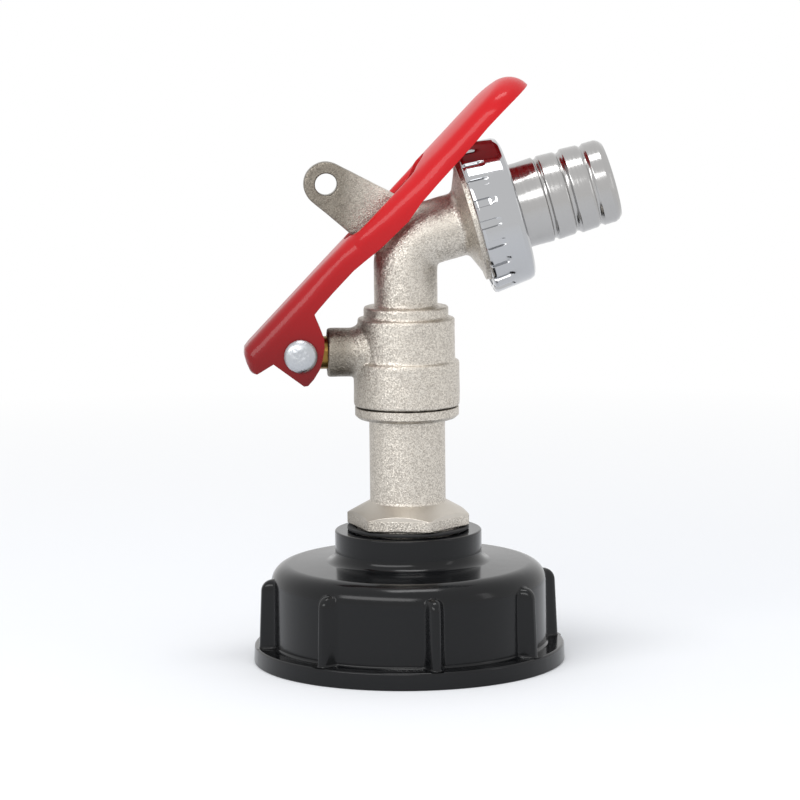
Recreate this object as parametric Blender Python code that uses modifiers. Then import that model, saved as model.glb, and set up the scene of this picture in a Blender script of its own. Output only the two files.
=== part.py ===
# Lockable ball bibcock on a screw cap for a tank outlet.
# Metres, +Z up. The origin is on the cap's axis in the plane of its lower rim.
# The spout points to +X and the valve stem to -X. The lever swings in the XZ plane.

import math

import bmesh
import bpy
from mathutils import Matrix, Vector

MM = 0.001

# Fits and facets
CLEARANCE = 0.3 * MM
OVERRUN = 1.0 * MM
MERGE = 0.01 * MM
WIDE_STEPS = 48
ROUND_STEPS = 28
SMALL_STEPS = 24
HOLE_STEPS = 20
ARC_STEPS = 3

# Cap: a moulded ring with a coarse female thread, eight grip ribs and a threaded neck
CAP_FLANGE_RADIUS = 39.0 * MM
CAP_FLANGE_HEIGHT = 4.4 * MM
CAP_FLANGE_EDGE = 0.8 * MM
CAP_SKIRT_RADIUS = 34.4 * MM
CAP_WALL = 4.2 * MM
CAP_HEIGHT = 24.7 * MM
CAP_TOP_RISE = 0.6 * MM
CAP_PLATE = 3.4 * MM
CAP_SHOULDER = 5.0 * MM
CAP_LEAD_IN = 1.2 * MM
CAP_NECK_RADIUS = 18.36 * MM
CAP_NECK_HEIGHT = 33.0 * MM
CAP_NECK_EDGE = 0.5 * MM
CAP_NECK_FILLET = 1.8 * MM
RIB_COUNT = 8
RIB_FIRST_ANGLE = math.radians(6.3)
RIB_REACH = 37.6 * MM
RIB_WIDTH = 4.2 * MM
RIB_TOP = 21.6 * MM
RIB_SINK = 2.0 * MM
RIB_ROUND = 1.3 * MM

# Rubber ring in the cap's ceiling, and the thin washer under the hexagon
GASKET_INNER_RADIUS = 22.0 * MM
GASKET_THICKNESS = 2.6 * MM
WASHER_RADIUS = 15.2 * MM
WASHER_THICKNESS = 0.7 * MM

# Inlet tailpiece: male thread, hexagon, pipe, flange and the thread that closes the body
INLET_THREAD_RADIUS = 13.2 * MM
INLET_THREAD_RELIEF = 0.5 * MM
INLET_BORE_RADIUS = 9.8 * MM
THREAD_CHAMFER = 0.7 * MM
HEX_ACROSS_FLATS = 27.0 * MM
HEX_FACE_HEIGHT = 2.6 * MM
HEX_CONE_HEIGHT = 2.8 * MM
HEX_CONE_RADIUS = 10.6 * MM
HEX_TURN = math.radians(16.6)
PIPE_RADIUS = 9.45 * MM
PIPE_BORE_RADIUS = 6.5 * MM
PIPE_FILLET = 0.9 * MM
CLOSURE_FLANGE_RADIUS = 12.95 * MM
CLOSURE_FLANGE_THICKNESS = 2.85 * MM
CLOSURE_FLANGE_CHAMFER = 0.9 * MM
CLOSURE_FLANGE_EDGE = 0.25 * MM
CLOSURE_THREAD_RADIUS = 10.8 * MM
CLOSURE_THREAD_LENGTH = 5.25 * MM
CLOSURE_RELIEF_LENGTH = 1.8 * MM
CLOSURE_RELIEF_DEPTH = 0.5 * MM

# Valve body: a brass casting
BALL_AXIS_HEIGHT = 77.84 * MM
BODY_BELOW_BALL = 13.49 * MM
BODY_LOWER_HEIGHT = 11.15 * MM
BODY_LOWER_RADIUS = 13.2 * MM
BODY_MIDDLE_HEIGHT = 10.8 * MM
BODY_MIDDLE_RADIUS = 12.1 * MM
COLLAR_HEIGHT = 2.8 * MM
COLLAR_RADIUS = 10.55 * MM
CAST_ROUND = 0.6 * MM
SEAL_POCKET_RADIUS = 12.2 * MM
SEAL_POCKET_DEPTH = 1.4 * MM
SEAL_SECTION = 0.55 * MM
FLOW_RADIUS = 6.0 * MM
NECK_RADIUS = 7.9 * MM

# Spout: the body's neck bends over to the outlet thread
SPOUT_TILT = math.radians(15.5)
SPOUT_RISE = 27.79 * MM
BEND_RADIUS = 8.6 * MM
BEND_STEPS = 8
OUTLET_THREAD_RADIUS = 16.6 * MM
OUTLET_FLANGE_RADIUS = 15.5 * MM
OUTLET_CONE_START = 14.4 * MM
OUTLET_CONE_END = 17.3 * MM
OUTLET_THREAD_START = 18.5 * MM
OUTLET_FACE = 22.9 * MM

# Stem boss and padlock lug on the body
BOSS_RADIUS = 6.1 * MM
BOSS_REACH = 19.75 * MM
BOSS_EDGE = 0.5 * MM
BOSS_FLARE_RADIUS = 7.4 * MM
BOSS_FLARE_LENGTH = 2.4 * MM
LUG_THICKNESS = 4.4 * MM
LUG_END_RADIUS = 5.5 * MM
LUG_HOLE_RADIUS = 2.74 * MM
LUG_HOLE_X = -19.54 * MM
LUG_HOLE_RISE = 14.1 * MM
LUG_UPPER_ROOT_X = -1.0 * MM
LUG_UPPER_ROOT_RISE = 10.57 * MM
LUG_INNER_ROOT_X = 1.5 * MM
LUG_INNER_ROOT_RISE = 3.37 * MM
LUG_LOWER_ROOT_X = -6.6 * MM
LUG_LOWER_ROOT_DROP = 4.23 * MM
LUG_EDGE = 0.5 * MM
LUG_END_STEPS = 12

# Ball, its two seats and the stem with its sealing rings
BALL_RADIUS = 9.0 * MM
BALL_SEGMENTS = 24
BALL_RINGS = 12
SEAT_BORE_RADIUS = 6.2 * MM
SEAT_THICKNESS = 3.7 * MM
SEAT_BACK = 8.26 * MM
SLOT_DEPTH = 2.0 * MM
TANG_THICKNESS = 2.8 * MM
TANG_HEIGHT = 8.0 * MM
STEM_RADIUS = 4.1 * MM
STEM_END = 30.4 * MM
STEM_EDGE = 0.6 * MM
STEM_SHOULDER_RADIUS = 5.1 * MM
STEM_SHOULDER_START = 9.4 * MM
STEM_SHOULDER_LENGTH = 1.1 * MM
THRUST_WASHER_THICKNESS = 0.6 * MM
RING_FIRST = 14.2 * MM
RING_PITCH = 3.0 * MM
RING_SECTION = 0.7 * MM
RING_GROOVE_WIDTH = 1.8 * MM
RING_GROOVE_DEPTH = 1.6 * MM
SECTION_STEPS = 5
RIVET_STEPS = 20
NECK_RESOLUTION = 8
WAY_RESOLUTION = 5

# Rivet through the cheeks of the lever and the end of the stem
PIVOT_X = -26.57 * MM
RIVET_RADIUS = 2.0 * MM
RIVET_HEAD_RADIUS = 4.15 * MM
RIVET_HEAD_HEIGHT = 1.9 * MM
RIVET_TAIL_RADIUS = 3.6 * MM
RIVET_TAIL_HEIGHT = 1.2 * MM
RIVET_HEAD_RIM = 0.5 * MM

# Lever: a pressed steel channel. Along it runs s, from the pivot, and n is its height above the pivot
LEVER_ANGLE = math.radians(46.3)
LEVER_SHEET = 1.6 * MM
LEVER_CROWN = 11.4 * MM
LEVER_TAIL_DOME = 0.1 * MM
LEVER_GRIP_DOME = 2.3 * MM
LEVER_CORNER = 4.4 * MM
LEVER_TIP_CORNER = 6.5 * MM
LEVER_WALL_LEAST = 0.2 * MM
LEVER_TAIL = 11.2 * MM
LEVER_TAIL_ROUND = 1.6 * MM
LEVER_LENGTH = 87.0 * MM
LEVER_PIVOT_HALF_WIDTH = 6.8 * MM
LEVER_GRIP_HALF_WIDTH = 12.0 * MM
LEVER_TAPER_START = 12.0 * MM
LEVER_TAPER_END = 56.0 * MM
LEVER_FLANGE_EDGE = 4.6 * MM
LEVER_TIP_EDGE = 4.2 * MM
LOBE_DEPTH = 6.4 * MM
LOBE_REACH = 9.9 * MM
TIP_STEPS = 8
CROWN_STEPS = 2
LEAN_STEPS = 3
SLOT_START = 28.2 * MM
SLOT_END = 57.0 * MM
SLOT_HALF_WIDTH = 4.75 * MM
SLOT_END_STEPS = 8
# The tail of the channel as shares of LEVER_TAIL behind the pivot and of LEVER_CROWN
TAIL_TOP_SHARES = ((1.0, 0.58), (0.93, 0.75), (0.84, 0.89), (0.73, 0.975), (0.58, 1.0))
TAIL_EDGE_SHARES = ((1.0, 0.50), (0.95, 0.42), (0.54, 0.31))
# The round of each cheek as shares of LOBE_REACH along the lever and of LOBE_DEPTH below the pivot
LOBE_SHARES = ((-0.50, 0.90), (-0.42, 1.0), (-0.2, 0.99), (0.08, 0.90), (0.31, 0.72),
               (0.56, 0.46), (0.72, 0.20), (0.80, -0.05), (0.93, -0.52), (1.0, -0.70))
# The lower edge of the side walls as shares of LEVER_LENGTH and of LEVER_FLANGE_EDGE
EDGE_SHARES = ((0.13, 1.0), (0.19, 1.05), (0.28, 1.07), (0.33, 0.97), (0.38, 0.85), (0.49, 0.79),
               (0.55, 0.98), (0.62, 1.04), (0.77, 1.08), (0.83, 1.14), (0.87, 1.14))

# Union nut and hose tail. Their places are distances along the spout from its corner
NUT_BACK = 17.6 * MM
NUT_FRONT = 28.7 * MM
NUT_BACK_RADIUS = 19.0 * MM
NUT_FRONT_RADIUS = 18.2 * MM
NUT_BACK_EDGE = 0.9 * MM
NUT_FRONT_EDGE = 1.6 * MM
NUT_FRONT_WALL = 1.8 * MM
NOTCH_COUNT = 22
NOTCH_WIDTH = 1.9 * MM
NOTCH_LENGTH = 5.0 * MM
NOTCH_DEPTH = 0.55 * MM
GASKET_RING_RADIUS = 15.4 * MM
GASKET_RING_THICKNESS = 1.3 * MM
TAIL_BORE_RADIUS = 7.8 * MM
TAIL_COLLAR_RADIUS = 15.6 * MM
TAIL_COLLAR_THICKNESS = 1.8 * MM
TAIL_NECK_RADIUS = 10.6 * MM
BARB_CREST_RADIUS = 10.75 * MM
BARB_ROOT_RADIUS = 10.2 * MM
BARB_GROOVE_RADIUS = 9.9 * MM
BARB_STARTS = (36.3 * MM, 42.3 * MM)
BARB_LENGTH = 4.7 * MM
BARB_STEP = 0.7 * MM
FIRST_TAPER_START = 29.8 * MM
TAIL_LAND_RADIUS = 10.5 * MM
TAIL_LAND_START = 48.2 * MM
TAIL_LAND_END = 51.4 * MM
TAIL_END = 53.2 * MM
TAIL_END_RADIUS = 9.3 * MM

# Places that follow from the sizes above
CAP_BORE_RADIUS = INLET_THREAD_RADIUS + CLEARANCE
CAP_CAVITY_RADIUS = CAP_SKIRT_RADIUS - CAP_WALL
CAP_CEILING = CAP_HEIGHT - CAP_PLATE
WASHER_BOTTOM = CAP_NECK_HEIGHT + CLEARANCE
HEX_BOTTOM = WASHER_BOTTOM + WASHER_THICKNESS + CLEARANCE
HEX_TOP = HEX_BOTTOM + HEX_FACE_HEIGHT + HEX_CONE_HEIGHT
BODY_BOTTOM = BALL_AXIS_HEIGHT - BODY_BELOW_BALL
BODY_LOWER_TOP = BODY_BOTTOM + BODY_LOWER_HEIGHT
BODY_MIDDLE_TOP = BODY_LOWER_TOP + BODY_MIDDLE_HEIGHT
COLLAR_TOP = BODY_MIDDLE_TOP + COLLAR_HEIGHT
SPOUT_CORNER_HEIGHT = BALL_AXIS_HEIGHT + SPOUT_RISE
LUG_HOLE_Z = SPOUT_CORNER_HEIGHT + LUG_HOLE_RISE
SEAT_CEILING = BALL_AXIS_HEIGHT + SEAT_BACK + CLEARANCE
CLOSURE_FLANGE_TOP = BODY_BOTTOM - CLEARANCE
CLOSURE_TOP = CLOSURE_FLANGE_TOP + CLOSURE_THREAD_LENGTH
CHAMBER_RADIUS = BALL_RADIUS + CLEARANCE
STEM_BORE_RADIUS = STEM_RADIUS + CLEARANCE
STEM_SHOULDER_END = STEM_SHOULDER_START + STEM_SHOULDER_LENGTH
THRUST_STEP = STEM_SHOULDER_END + THRUST_WASHER_THICKNESS + CLEARANCE * 2
NUT_BORE_RADIUS = OUTLET_THREAD_RADIUS + CLEARANCE
GASKET_RING_START = OUTLET_FACE + CLEARANCE
TAIL_COLLAR_START = GASKET_RING_START + GASKET_RING_THICKNESS + CLEARANCE
TIP_CENTRE = LEVER_LENGTH - LEVER_GRIP_HALF_WIDTH

UPRIGHT = Matrix.Identity(4)
SPOUT_FRAME = Matrix.Translation((0.0, 0.0, SPOUT_CORNER_HEIGHT)) @ Matrix.Rotation(
    math.pi / 2 - SPOUT_TILT, 4, "Y")
STEM_FRAME = Matrix.Translation((0.0, 0.0, BALL_AXIS_HEIGHT)) @ Matrix.Rotation(-math.pi / 2, 4, "Y")
PIVOT_FRAME = Matrix.Translation((PIVOT_X, 0.0, BALL_AXIS_HEIGHT)) @ Matrix.Rotation(math.pi / 2, 4, "X")
LEVER_FRAME = Matrix.Translation((PIVOT_X, 0.0, BALL_AXIS_HEIGHT)) @ Matrix.Rotation(-LEVER_ANGLE, 4, "Y")
SIDE_FRAME = Matrix.Rotation(math.pi / 2, 4, "X")


def collection(name):
    made = bpy.data.collections.new(name)
    bpy.context.scene.collection.children.link(made)
    return made


def clear_scene():
    for item in list(bpy.data.objects):
        bpy.data.objects.remove(item, do_unlink=True)


def add_object(name, mesh, frame, group):
    made = bpy.data.objects.new(name, mesh)
    group.objects.link(made)
    made.matrix_world = frame
    return made


def as_cutter(item):
    item.hide_render = True
    item.display_type = "WIRE"
    return item


def arc(centre_r, centre_z, radius, start, end, steps=ARC_STEPS):
    """Points on a circle in the profile plane, with angles in degrees from +r towards +z."""
    points = []
    for step in range(steps + 1):
        angle = math.radians(start + (end - start) * step / steps)
        points.append((centre_r + radius * math.cos(angle), centre_z + radius * math.sin(angle)))
    return points


def turned(name, profile, frame, group, steps=ROUND_STEPS, ring=True):
    """A solid of revolution about local Z. The profile runs down its outer side; a ring closes on itself."""
    mesh = bpy.data.meshes.new(name)
    form = bmesh.new()
    points = [form.verts.new((radius, 0.0, height)) for radius, height in profile]
    for first, second in zip(points, points[1:]):
        form.edges.new((first, second))
    if ring:
        form.edges.new((points[-1], points[0]))
    form.to_mesh(mesh)
    form.free()
    made = add_object(name, mesh, frame, group)
    screw = made.modifiers.new("Turn", "SCREW")
    screw.steps = steps
    screw.render_steps = steps
    screw.use_merge_vertices = True
    screw.merge_threshold = MERGE
    return made


def boolean(target, other, operation="DIFFERENCE"):
    cut = target.modifiers.new(operation.title(), "BOOLEAN")
    cut.operation = operation
    cut.solver = "EXACT"
    cut.object = other
    return cut


def bevel(target, width, segments=2, angle=math.radians(40)):
    edge = target.modifiers.new("Edge", "BEVEL")
    edge.width = width
    edge.segments = segments
    edge.limit_method = "ANGLE"
    edge.angle_limit = angle
    return edge


def block(form, low, high, frame=UPRIGHT):
    """Adds a box between two corners to a bmesh and returns its vertices."""
    size = Vector(high) - Vector(low)
    middle = (Vector(high) + Vector(low)) / 2
    placed = frame @ Matrix.Translation(middle) @ Matrix.Diagonal(size.to_4d())
    placed[3][3] = 1.0
    return bmesh.ops.create_cube(form, size=1.0, matrix=placed)["verts"]


def cylinder(name, radius, start, end, frame, group, steps=SMALL_STEPS):
    """A plain cylinder about local Z between two heights."""
    mesh = bpy.data.meshes.new(name)
    form = bmesh.new()
    bmesh.ops.create_cone(form, cap_ends=True, segments=steps, radius1=radius, radius2=radius,
                          depth=end - start, matrix=Matrix.Translation((0.0, 0.0, (start + end) / 2)))
    form.to_mesh(mesh)
    form.free()
    return add_object(name, mesh, frame, group)


def ring_profile(inner, outer, bottom, top):
    return [(outer, top), (outer, bottom), (inner, bottom), (inner, top)]


def o_ring(name, radius, height, section, frame, group):
    profile = arc(radius, height, section, 90, 90 - 360, SECTION_STEPS)[:-1]
    return turned(name, profile, frame, group, SMALL_STEPS)


def curve_to_mesh(curve_object, group):
    """Replaces a curve by its mesh with the caps welded on."""
    graph = bpy.context.evaluated_depsgraph_get()
    mesh = bpy.data.meshes.new_from_object(curve_object.evaluated_get(graph))
    form = bmesh.new()
    form.from_mesh(mesh)
    bmesh.ops.remove_doubles(form, verts=form.verts, dist=MERGE)
    bmesh.ops.recalc_face_normals(form, faces=form.faces)
    form.to_mesh(mesh)
    form.free()
    name = curve_object.name
    frame = curve_object.matrix_world.copy()
    bpy.data.objects.remove(curve_object, do_unlink=True)
    return add_object(name, mesh, frame, group)


def poly_curve(name, points, group, flat):
    curve = bpy.data.curves.new(name, "CURVE")
    curve.dimensions = "2D" if flat else "3D"
    spline = curve.splines.new("POLY")
    spline.points.add(len(points) - 1)
    for place, point in zip(spline.points, points):
        place.co = (*point, 1.0)
    spline.use_cyclic_u = flat
    made = bpy.data.objects.new(name, curve)
    group.objects.link(made)
    return made


def tube(name, points, radius, group, resolution):
    """A round bar along a path, with closed ends."""
    made = poly_curve(name, points, group, False)
    made.data.bevel_depth = radius
    made.data.bevel_resolution = resolution
    made.data.use_fill_caps = True
    bpy.context.view_layer.update()
    return curve_to_mesh(made, group)


def plate(name, outline, thickness, frame, group):
    """A flat plate from an outline in local XY, centred on local Z = 0."""
    made = poly_curve(name, [(*point, 0.0) for point in outline], group, True)
    made.data.fill_mode = "BOTH"
    made.data.extrude = thickness / 2
    made.matrix_world = frame
    bpy.context.view_layer.update()
    return curve_to_mesh(made, group)


def finish(item, colour, roughness, metallic):
    """Gives a piece its own material and smooth round faces."""
    made = bpy.data.materials.new(item.name)
    made.use_nodes = True
    shader = made.node_tree.nodes["Principled BSDF"]
    shader.inputs["Base Color"].default_value = (*colour, 1.0)
    shader.inputs["Roughness"].default_value = roughness
    shader.inputs["Metallic"].default_value = metallic
    made.diffuse_color = (*colour, 1.0)
    item.data.materials.append(made)
    item.data.shade_smooth()
    return item


def build_cap(parts, cutters):
    """The moulded cap: flange, skirt, rounded shoulder, top plate and neck, open underneath."""
    shoulder_r = CAP_SKIRT_RADIUS - CAP_SHOULDER
    shoulder_z = CAP_HEIGHT - CAP_SHOULDER
    fillet_r = CAP_NECK_RADIUS + CAP_NECK_FILLET
    fillet_z = CAP_HEIGHT + CAP_TOP_RISE + CAP_NECK_FILLET
    profile = [(CAP_BORE_RADIUS, CAP_NECK_HEIGHT)]
    profile += [(CAP_NECK_RADIUS - CAP_NECK_EDGE, CAP_NECK_HEIGHT)]
    profile += [(CAP_NECK_RADIUS, CAP_NECK_HEIGHT - CAP_NECK_EDGE)]
    profile += arc(fillet_r, fillet_z, CAP_NECK_FILLET, 180, 270)
    profile += arc(shoulder_r, shoulder_z, CAP_SHOULDER, 90, 0)
    profile += [(CAP_SKIRT_RADIUS, CAP_FLANGE_HEIGHT)]
    profile += [(CAP_FLANGE_RADIUS - CAP_FLANGE_EDGE, CAP_FLANGE_HEIGHT)]
    profile += [(CAP_FLANGE_RADIUS, CAP_FLANGE_HEIGHT - CAP_FLANGE_EDGE)]
    profile += [(CAP_FLANGE_RADIUS, 0.0)]
    profile += [(CAP_CAVITY_RADIUS + CAP_LEAD_IN, 0.0)]
    profile += [(CAP_CAVITY_RADIUS, CAP_LEAD_IN)]
    profile += [(CAP_CAVITY_RADIUS, CAP_CEILING)]
    profile += [(CAP_BORE_RADIUS, CAP_CEILING)]
    cap = turned("ibc_cap", profile, UPRIGHT, parts, WIDE_STEPS)
    boolean(cap, build_ribs(cutters), "UNION")
    return finish(cap, (0.012, 0.012, 0.013), 0.28, 0.0)


def build_ribs(cutters):
    """Eight grip ribs, rooted in the skirt and the flange."""
    mesh = bpy.data.meshes.new("cap_ribs")
    form = bmesh.new()
    for index in range(RIB_COUNT):
        angle = RIB_FIRST_ANGLE + index * math.tau / RIB_COUNT - math.pi / 2
        low = (CAP_SKIRT_RADIUS - RIB_SINK, -RIB_WIDTH / 2, CAP_FLANGE_HEIGHT - RIB_SINK)
        high = (RIB_REACH, RIB_WIDTH / 2, RIB_TOP)
        block(form, low, high, Matrix.Rotation(angle, 4, "Z"))
    form.to_mesh(mesh)
    form.free()
    ribs = add_object("cap_ribs", mesh, UPRIGHT, cutters)
    bevel(ribs, RIB_ROUND)
    return as_cutter(ribs)


def build_cap_gasket(parts):
    """The flat rubber ring that the tank outlet presses against."""
    top = CAP_CEILING - CLEARANCE
    outer = CAP_CAVITY_RADIUS - CLEARANCE
    profile = ring_profile(GASKET_INNER_RADIUS, outer, top - GASKET_THICKNESS, top)
    gasket = turned("cap_gasket", profile, UPRIGHT, parts, ROUND_STEPS)
    return finish(gasket, (0.02, 0.02, 0.02), 0.7, 0.0)


def build_inlet_washer(parts):
    """The thin washer between the cap's neck and the hexagon."""
    top = WASHER_BOTTOM + WASHER_THICKNESS
    profile = ring_profile(CAP_BORE_RADIUS, WASHER_RADIUS, WASHER_BOTTOM, top)
    washer = turned("inlet_washer", profile, UPRIGHT, parts, ROUND_STEPS)
    return finish(washer, (0.015, 0.015, 0.015), 0.6, 0.0)


def build_inlet_tailpiece(parts, cutters):
    """The turned and cast inlet: it screws into the cap and closes the body from below."""
    relief = INLET_THREAD_RADIUS - INLET_THREAD_RELIEF
    closure_relief = CLOSURE_THREAD_RADIUS - CLOSURE_RELIEF_DEPTH
    flange_bottom = CLOSURE_FLANGE_TOP - CLOSURE_FLANGE_THICKNESS
    profile = [(CLOSURE_THREAD_RADIUS - THREAD_CHAMFER, CLOSURE_TOP)]
    profile += [(CLOSURE_THREAD_RADIUS, CLOSURE_TOP - THREAD_CHAMFER)]
    profile += [(CLOSURE_THREAD_RADIUS, CLOSURE_FLANGE_TOP + CLOSURE_RELIEF_LENGTH)]
    profile += [(closure_relief, CLOSURE_FLANGE_TOP + CLOSURE_RELIEF_LENGTH - CLOSURE_RELIEF_DEPTH)]
    profile += [(closure_relief, CLOSURE_FLANGE_TOP)]
    profile += [(CLOSURE_FLANGE_RADIUS - CLOSURE_FLANGE_EDGE, CLOSURE_FLANGE_TOP)]
    profile += [(CLOSURE_FLANGE_RADIUS, CLOSURE_FLANGE_TOP - CLOSURE_FLANGE_EDGE)]
    profile += [(CLOSURE_FLANGE_RADIUS, flange_bottom + CLOSURE_FLANGE_CHAMFER)]
    profile += [(CLOSURE_FLANGE_RADIUS - CLOSURE_FLANGE_CHAMFER, flange_bottom)]
    profile += arc(PIPE_RADIUS + PIPE_FILLET, flange_bottom - PIPE_FILLET, PIPE_FILLET, 90, 180)
    profile += arc(PIPE_RADIUS + PIPE_FILLET, HEX_TOP + PIPE_FILLET, PIPE_FILLET, 180, 260)
    profile += [(HEX_CONE_RADIUS, HEX_TOP - HEX_CONE_HEIGHT)]
    profile += [(relief, HEX_BOTTOM + HEX_FACE_HEIGHT / 2)]
    profile += [(relief, CAP_NECK_HEIGHT)]
    profile += [(INLET_THREAD_RADIUS, CAP_NECK_HEIGHT - INLET_THREAD_RELIEF)]
    profile += [(INLET_THREAD_RADIUS, CAP_CEILING + THREAD_CHAMFER * 2)]
    profile += [(INLET_THREAD_RADIUS - THREAD_CHAMFER, CAP_CEILING + THREAD_CHAMFER)]
    profile += [(INLET_BORE_RADIUS, CAP_CEILING + THREAD_CHAMFER)]
    profile += [(INLET_BORE_RADIUS, HEX_BOTTOM)]
    profile += [(PIPE_BORE_RADIUS, HEX_TOP - PIPE_FILLET)]
    profile += [(PIPE_BORE_RADIUS, CLOSURE_TOP)]
    tailpiece = turned("inlet_tailpiece", profile, UPRIGHT, parts)
    boolean(tailpiece, build_hexagon(cutters), "UNION")
    return finish(tailpiece, (0.55, 0.52, 0.47), 0.38, 1.0)


def build_hexagon(cutters):
    """The spanner hexagon with its corners turned off to a cone."""
    corner = HEX_ACROSS_FLATS / math.sqrt(3)
    cone_base = HEX_BOTTOM + HEX_FACE_HEIGHT
    # The cone passes a little over the corners, so that they are cut off lower than the flats
    outer = corner + HEX_CONE_HEIGHT
    drop = (outer - corner) * HEX_CONE_HEIGHT / (corner - HEX_CONE_RADIUS)
    shape = [(HEX_CONE_RADIUS, HEX_TOP), (outer, cone_base - drop), (outer, HEX_BOTTOM - drop)]
    shape += [(INLET_BORE_RADIUS + INLET_THREAD_RELIEF, HEX_BOTTOM - drop)]
    shape += [(PIPE_BORE_RADIUS + INLET_THREAD_RELIEF, HEX_TOP)]
    cone = as_cutter(turned("hexagon_cone", shape, UPRIGHT, cutters))
    turn = Matrix.Rotation(HEX_TURN - math.pi / 2, 4, "Z")
    hexagon = cylinder("hexagon", corner, HEX_BOTTOM, HEX_TOP + OVERRUN, turn, cutters, 6)
    boolean(hexagon, cone, "INTERSECT")
    return as_cutter(hexagon)


def build_body_seal(parts):
    """The ring that seals the tailpiece's flange against the body."""
    radius = SEAL_POCKET_RADIUS - CLEARANCE - SEAL_SECTION
    height = CLOSURE_FLANGE_TOP + (SEAL_POCKET_DEPTH + CLEARANCE) / 2
    seal = o_ring("body_seal", radius, height, SEAL_SECTION, UPRIGHT, parts)
    return finish(seal, (0.02, 0.02, 0.02), 0.6, 0.0)


def body_profile():
    """The outside of the round body, from the root of the neck down to the seam."""
    root = NECK_RADIUS + CAST_ROUND * 0.75
    profile = [(0.0, COLLAR_TOP + CAST_ROUND * 2)]
    profile += [(NECK_RADIUS - CAST_ROUND / 2, COLLAR_TOP + CAST_ROUND * 2)]
    profile += arc(root, COLLAR_TOP + CAST_ROUND, CAST_ROUND, 180, 270, 2)
    profile += arc(COLLAR_RADIUS - CAST_ROUND, COLLAR_TOP - CAST_ROUND, CAST_ROUND, 90, 0, 3)
    profile += arc(COLLAR_RADIUS + CAST_ROUND, BODY_MIDDLE_TOP + CAST_ROUND, CAST_ROUND, 180, 270, 2)
    edge = CAST_ROUND / 2
    profile += arc(BODY_MIDDLE_RADIUS - edge, BODY_MIDDLE_TOP - edge, edge, 90, 0, 2)
    profile += [(BODY_MIDDLE_RADIUS, BODY_LOWER_TOP + CAST_ROUND)]
    profile += arc(BODY_LOWER_RADIUS - CAST_ROUND, BODY_LOWER_TOP - CAST_ROUND, CAST_ROUND, 90, 0, 3)
    profile += [(BODY_LOWER_RADIUS, BODY_BOTTOM + CAST_ROUND / 2)]
    profile += [(BODY_LOWER_RADIUS - CAST_ROUND / 2, BODY_BOTTOM)]
    profile += [(0.0, BODY_BOTTOM)]
    return profile


def spout_point(distance):
    return SPOUT_FRAME @ Vector((0.0, 0.0, distance))


def neck_path(start, end):
    """The centre line of the neck: straight up, round the bend and out along the spout."""
    tangent = BEND_RADIUS * math.tan((math.pi / 2 - SPOUT_TILT) / 2)
    bend_z = SPOUT_CORNER_HEIGHT - tangent
    points = [(0.0, 0.0, start)]
    for step in range(BEND_STEPS + 1):
        angle = (math.pi / 2 - SPOUT_TILT) * step / BEND_STEPS
        x = BEND_RADIUS * (1.0 - math.cos(angle))
        z = bend_z + BEND_RADIUS * math.sin(angle)
        points.append((x, 0.0, z))
    points.append(tuple(spout_point(end)))
    return points


def outlet_profile():
    """The outlet flange and its thread, turned about the spout, without the bore."""
    profile = [(0.0, OUTLET_FACE)]
    profile += [(OUTLET_THREAD_RADIUS - THREAD_CHAMFER, OUTLET_FACE)]
    profile += [(OUTLET_THREAD_RADIUS, OUTLET_FACE - THREAD_CHAMFER)]
    profile += [(OUTLET_THREAD_RADIUS, OUTLET_THREAD_START)]
    profile += [(OUTLET_FLANGE_RADIUS, OUTLET_THREAD_START - THREAD_CHAMFER / 2)]
    profile += [(OUTLET_FLANGE_RADIUS, OUTLET_CONE_END)]
    profile += [(NECK_RADIUS + CAST_ROUND, OUTLET_CONE_START)]
    profile += [(NECK_RADIUS - CAST_ROUND, OUTLET_CONE_START - CAST_ROUND * 2)]
    profile += [(0.0, OUTLET_CONE_START - CAST_ROUND * 2)]
    return profile


def boss_profile():
    """The stem boss, turned about the stem, with a flare where it leaves the body."""
    flare_end = BODY_MIDDLE_RADIUS + BOSS_FLARE_LENGTH
    profile = [(0.0, BOSS_REACH)]
    profile += [(BOSS_RADIUS - BOSS_EDGE, BOSS_REACH)]
    profile += [(BOSS_RADIUS, BOSS_REACH - BOSS_EDGE)]
    profile += [(BOSS_RADIUS, flare_end)]
    profile += [(BOSS_RADIUS + CAST_ROUND / 2, flare_end - BOSS_FLARE_LENGTH / 2)]
    profile += [(BOSS_FLARE_RADIUS, BODY_MIDDLE_RADIUS - CAST_ROUND * 2)]
    profile += [(BOSS_FLARE_RADIUS, STEM_SHOULDER_END)]
    profile += [(0.0, STEM_SHOULDER_END)]
    return profile


def lug_outline():
    """The padlock lug: a round end with straight edges that run into the outside of the bend."""
    end = Vector((LUG_HOLE_X, LUG_HOLE_Z))
    upper = Vector((LUG_UPPER_ROOT_X, SPOUT_CORNER_HEIGHT + LUG_UPPER_ROOT_RISE))
    inner = Vector((LUG_INNER_ROOT_X, SPOUT_CORNER_HEIGHT + LUG_INNER_ROOT_RISE))
    lower = Vector((LUG_LOWER_ROOT_X, SPOUT_CORNER_HEIGHT - LUG_LOWER_ROOT_DROP))
    start = tangent_angle(end, upper, LUG_END_RADIUS, 1.0)
    stop = tangent_angle(end, lower, LUG_END_RADIUS, -1.0)
    if stop < start:
        stop += math.tau
    outline = [tuple(upper)]
    for step in range(LUG_END_STEPS + 1):
        angle = start + (stop - start) * step / LUG_END_STEPS
        outline.append(tuple(end + LUG_END_RADIUS * Vector((math.cos(angle), math.sin(angle)))))
    outline.append(tuple(lower))
    outline.append(tuple(inner))
    return outline


def tangent_angle(centre, point, radius, side):
    """The angle at which a line from a point touches a circle, on one side of it."""
    reach = point - centre
    toward = math.atan2(reach.y, reach.x)
    return toward + side * math.acos(radius / reach.length)


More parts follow.
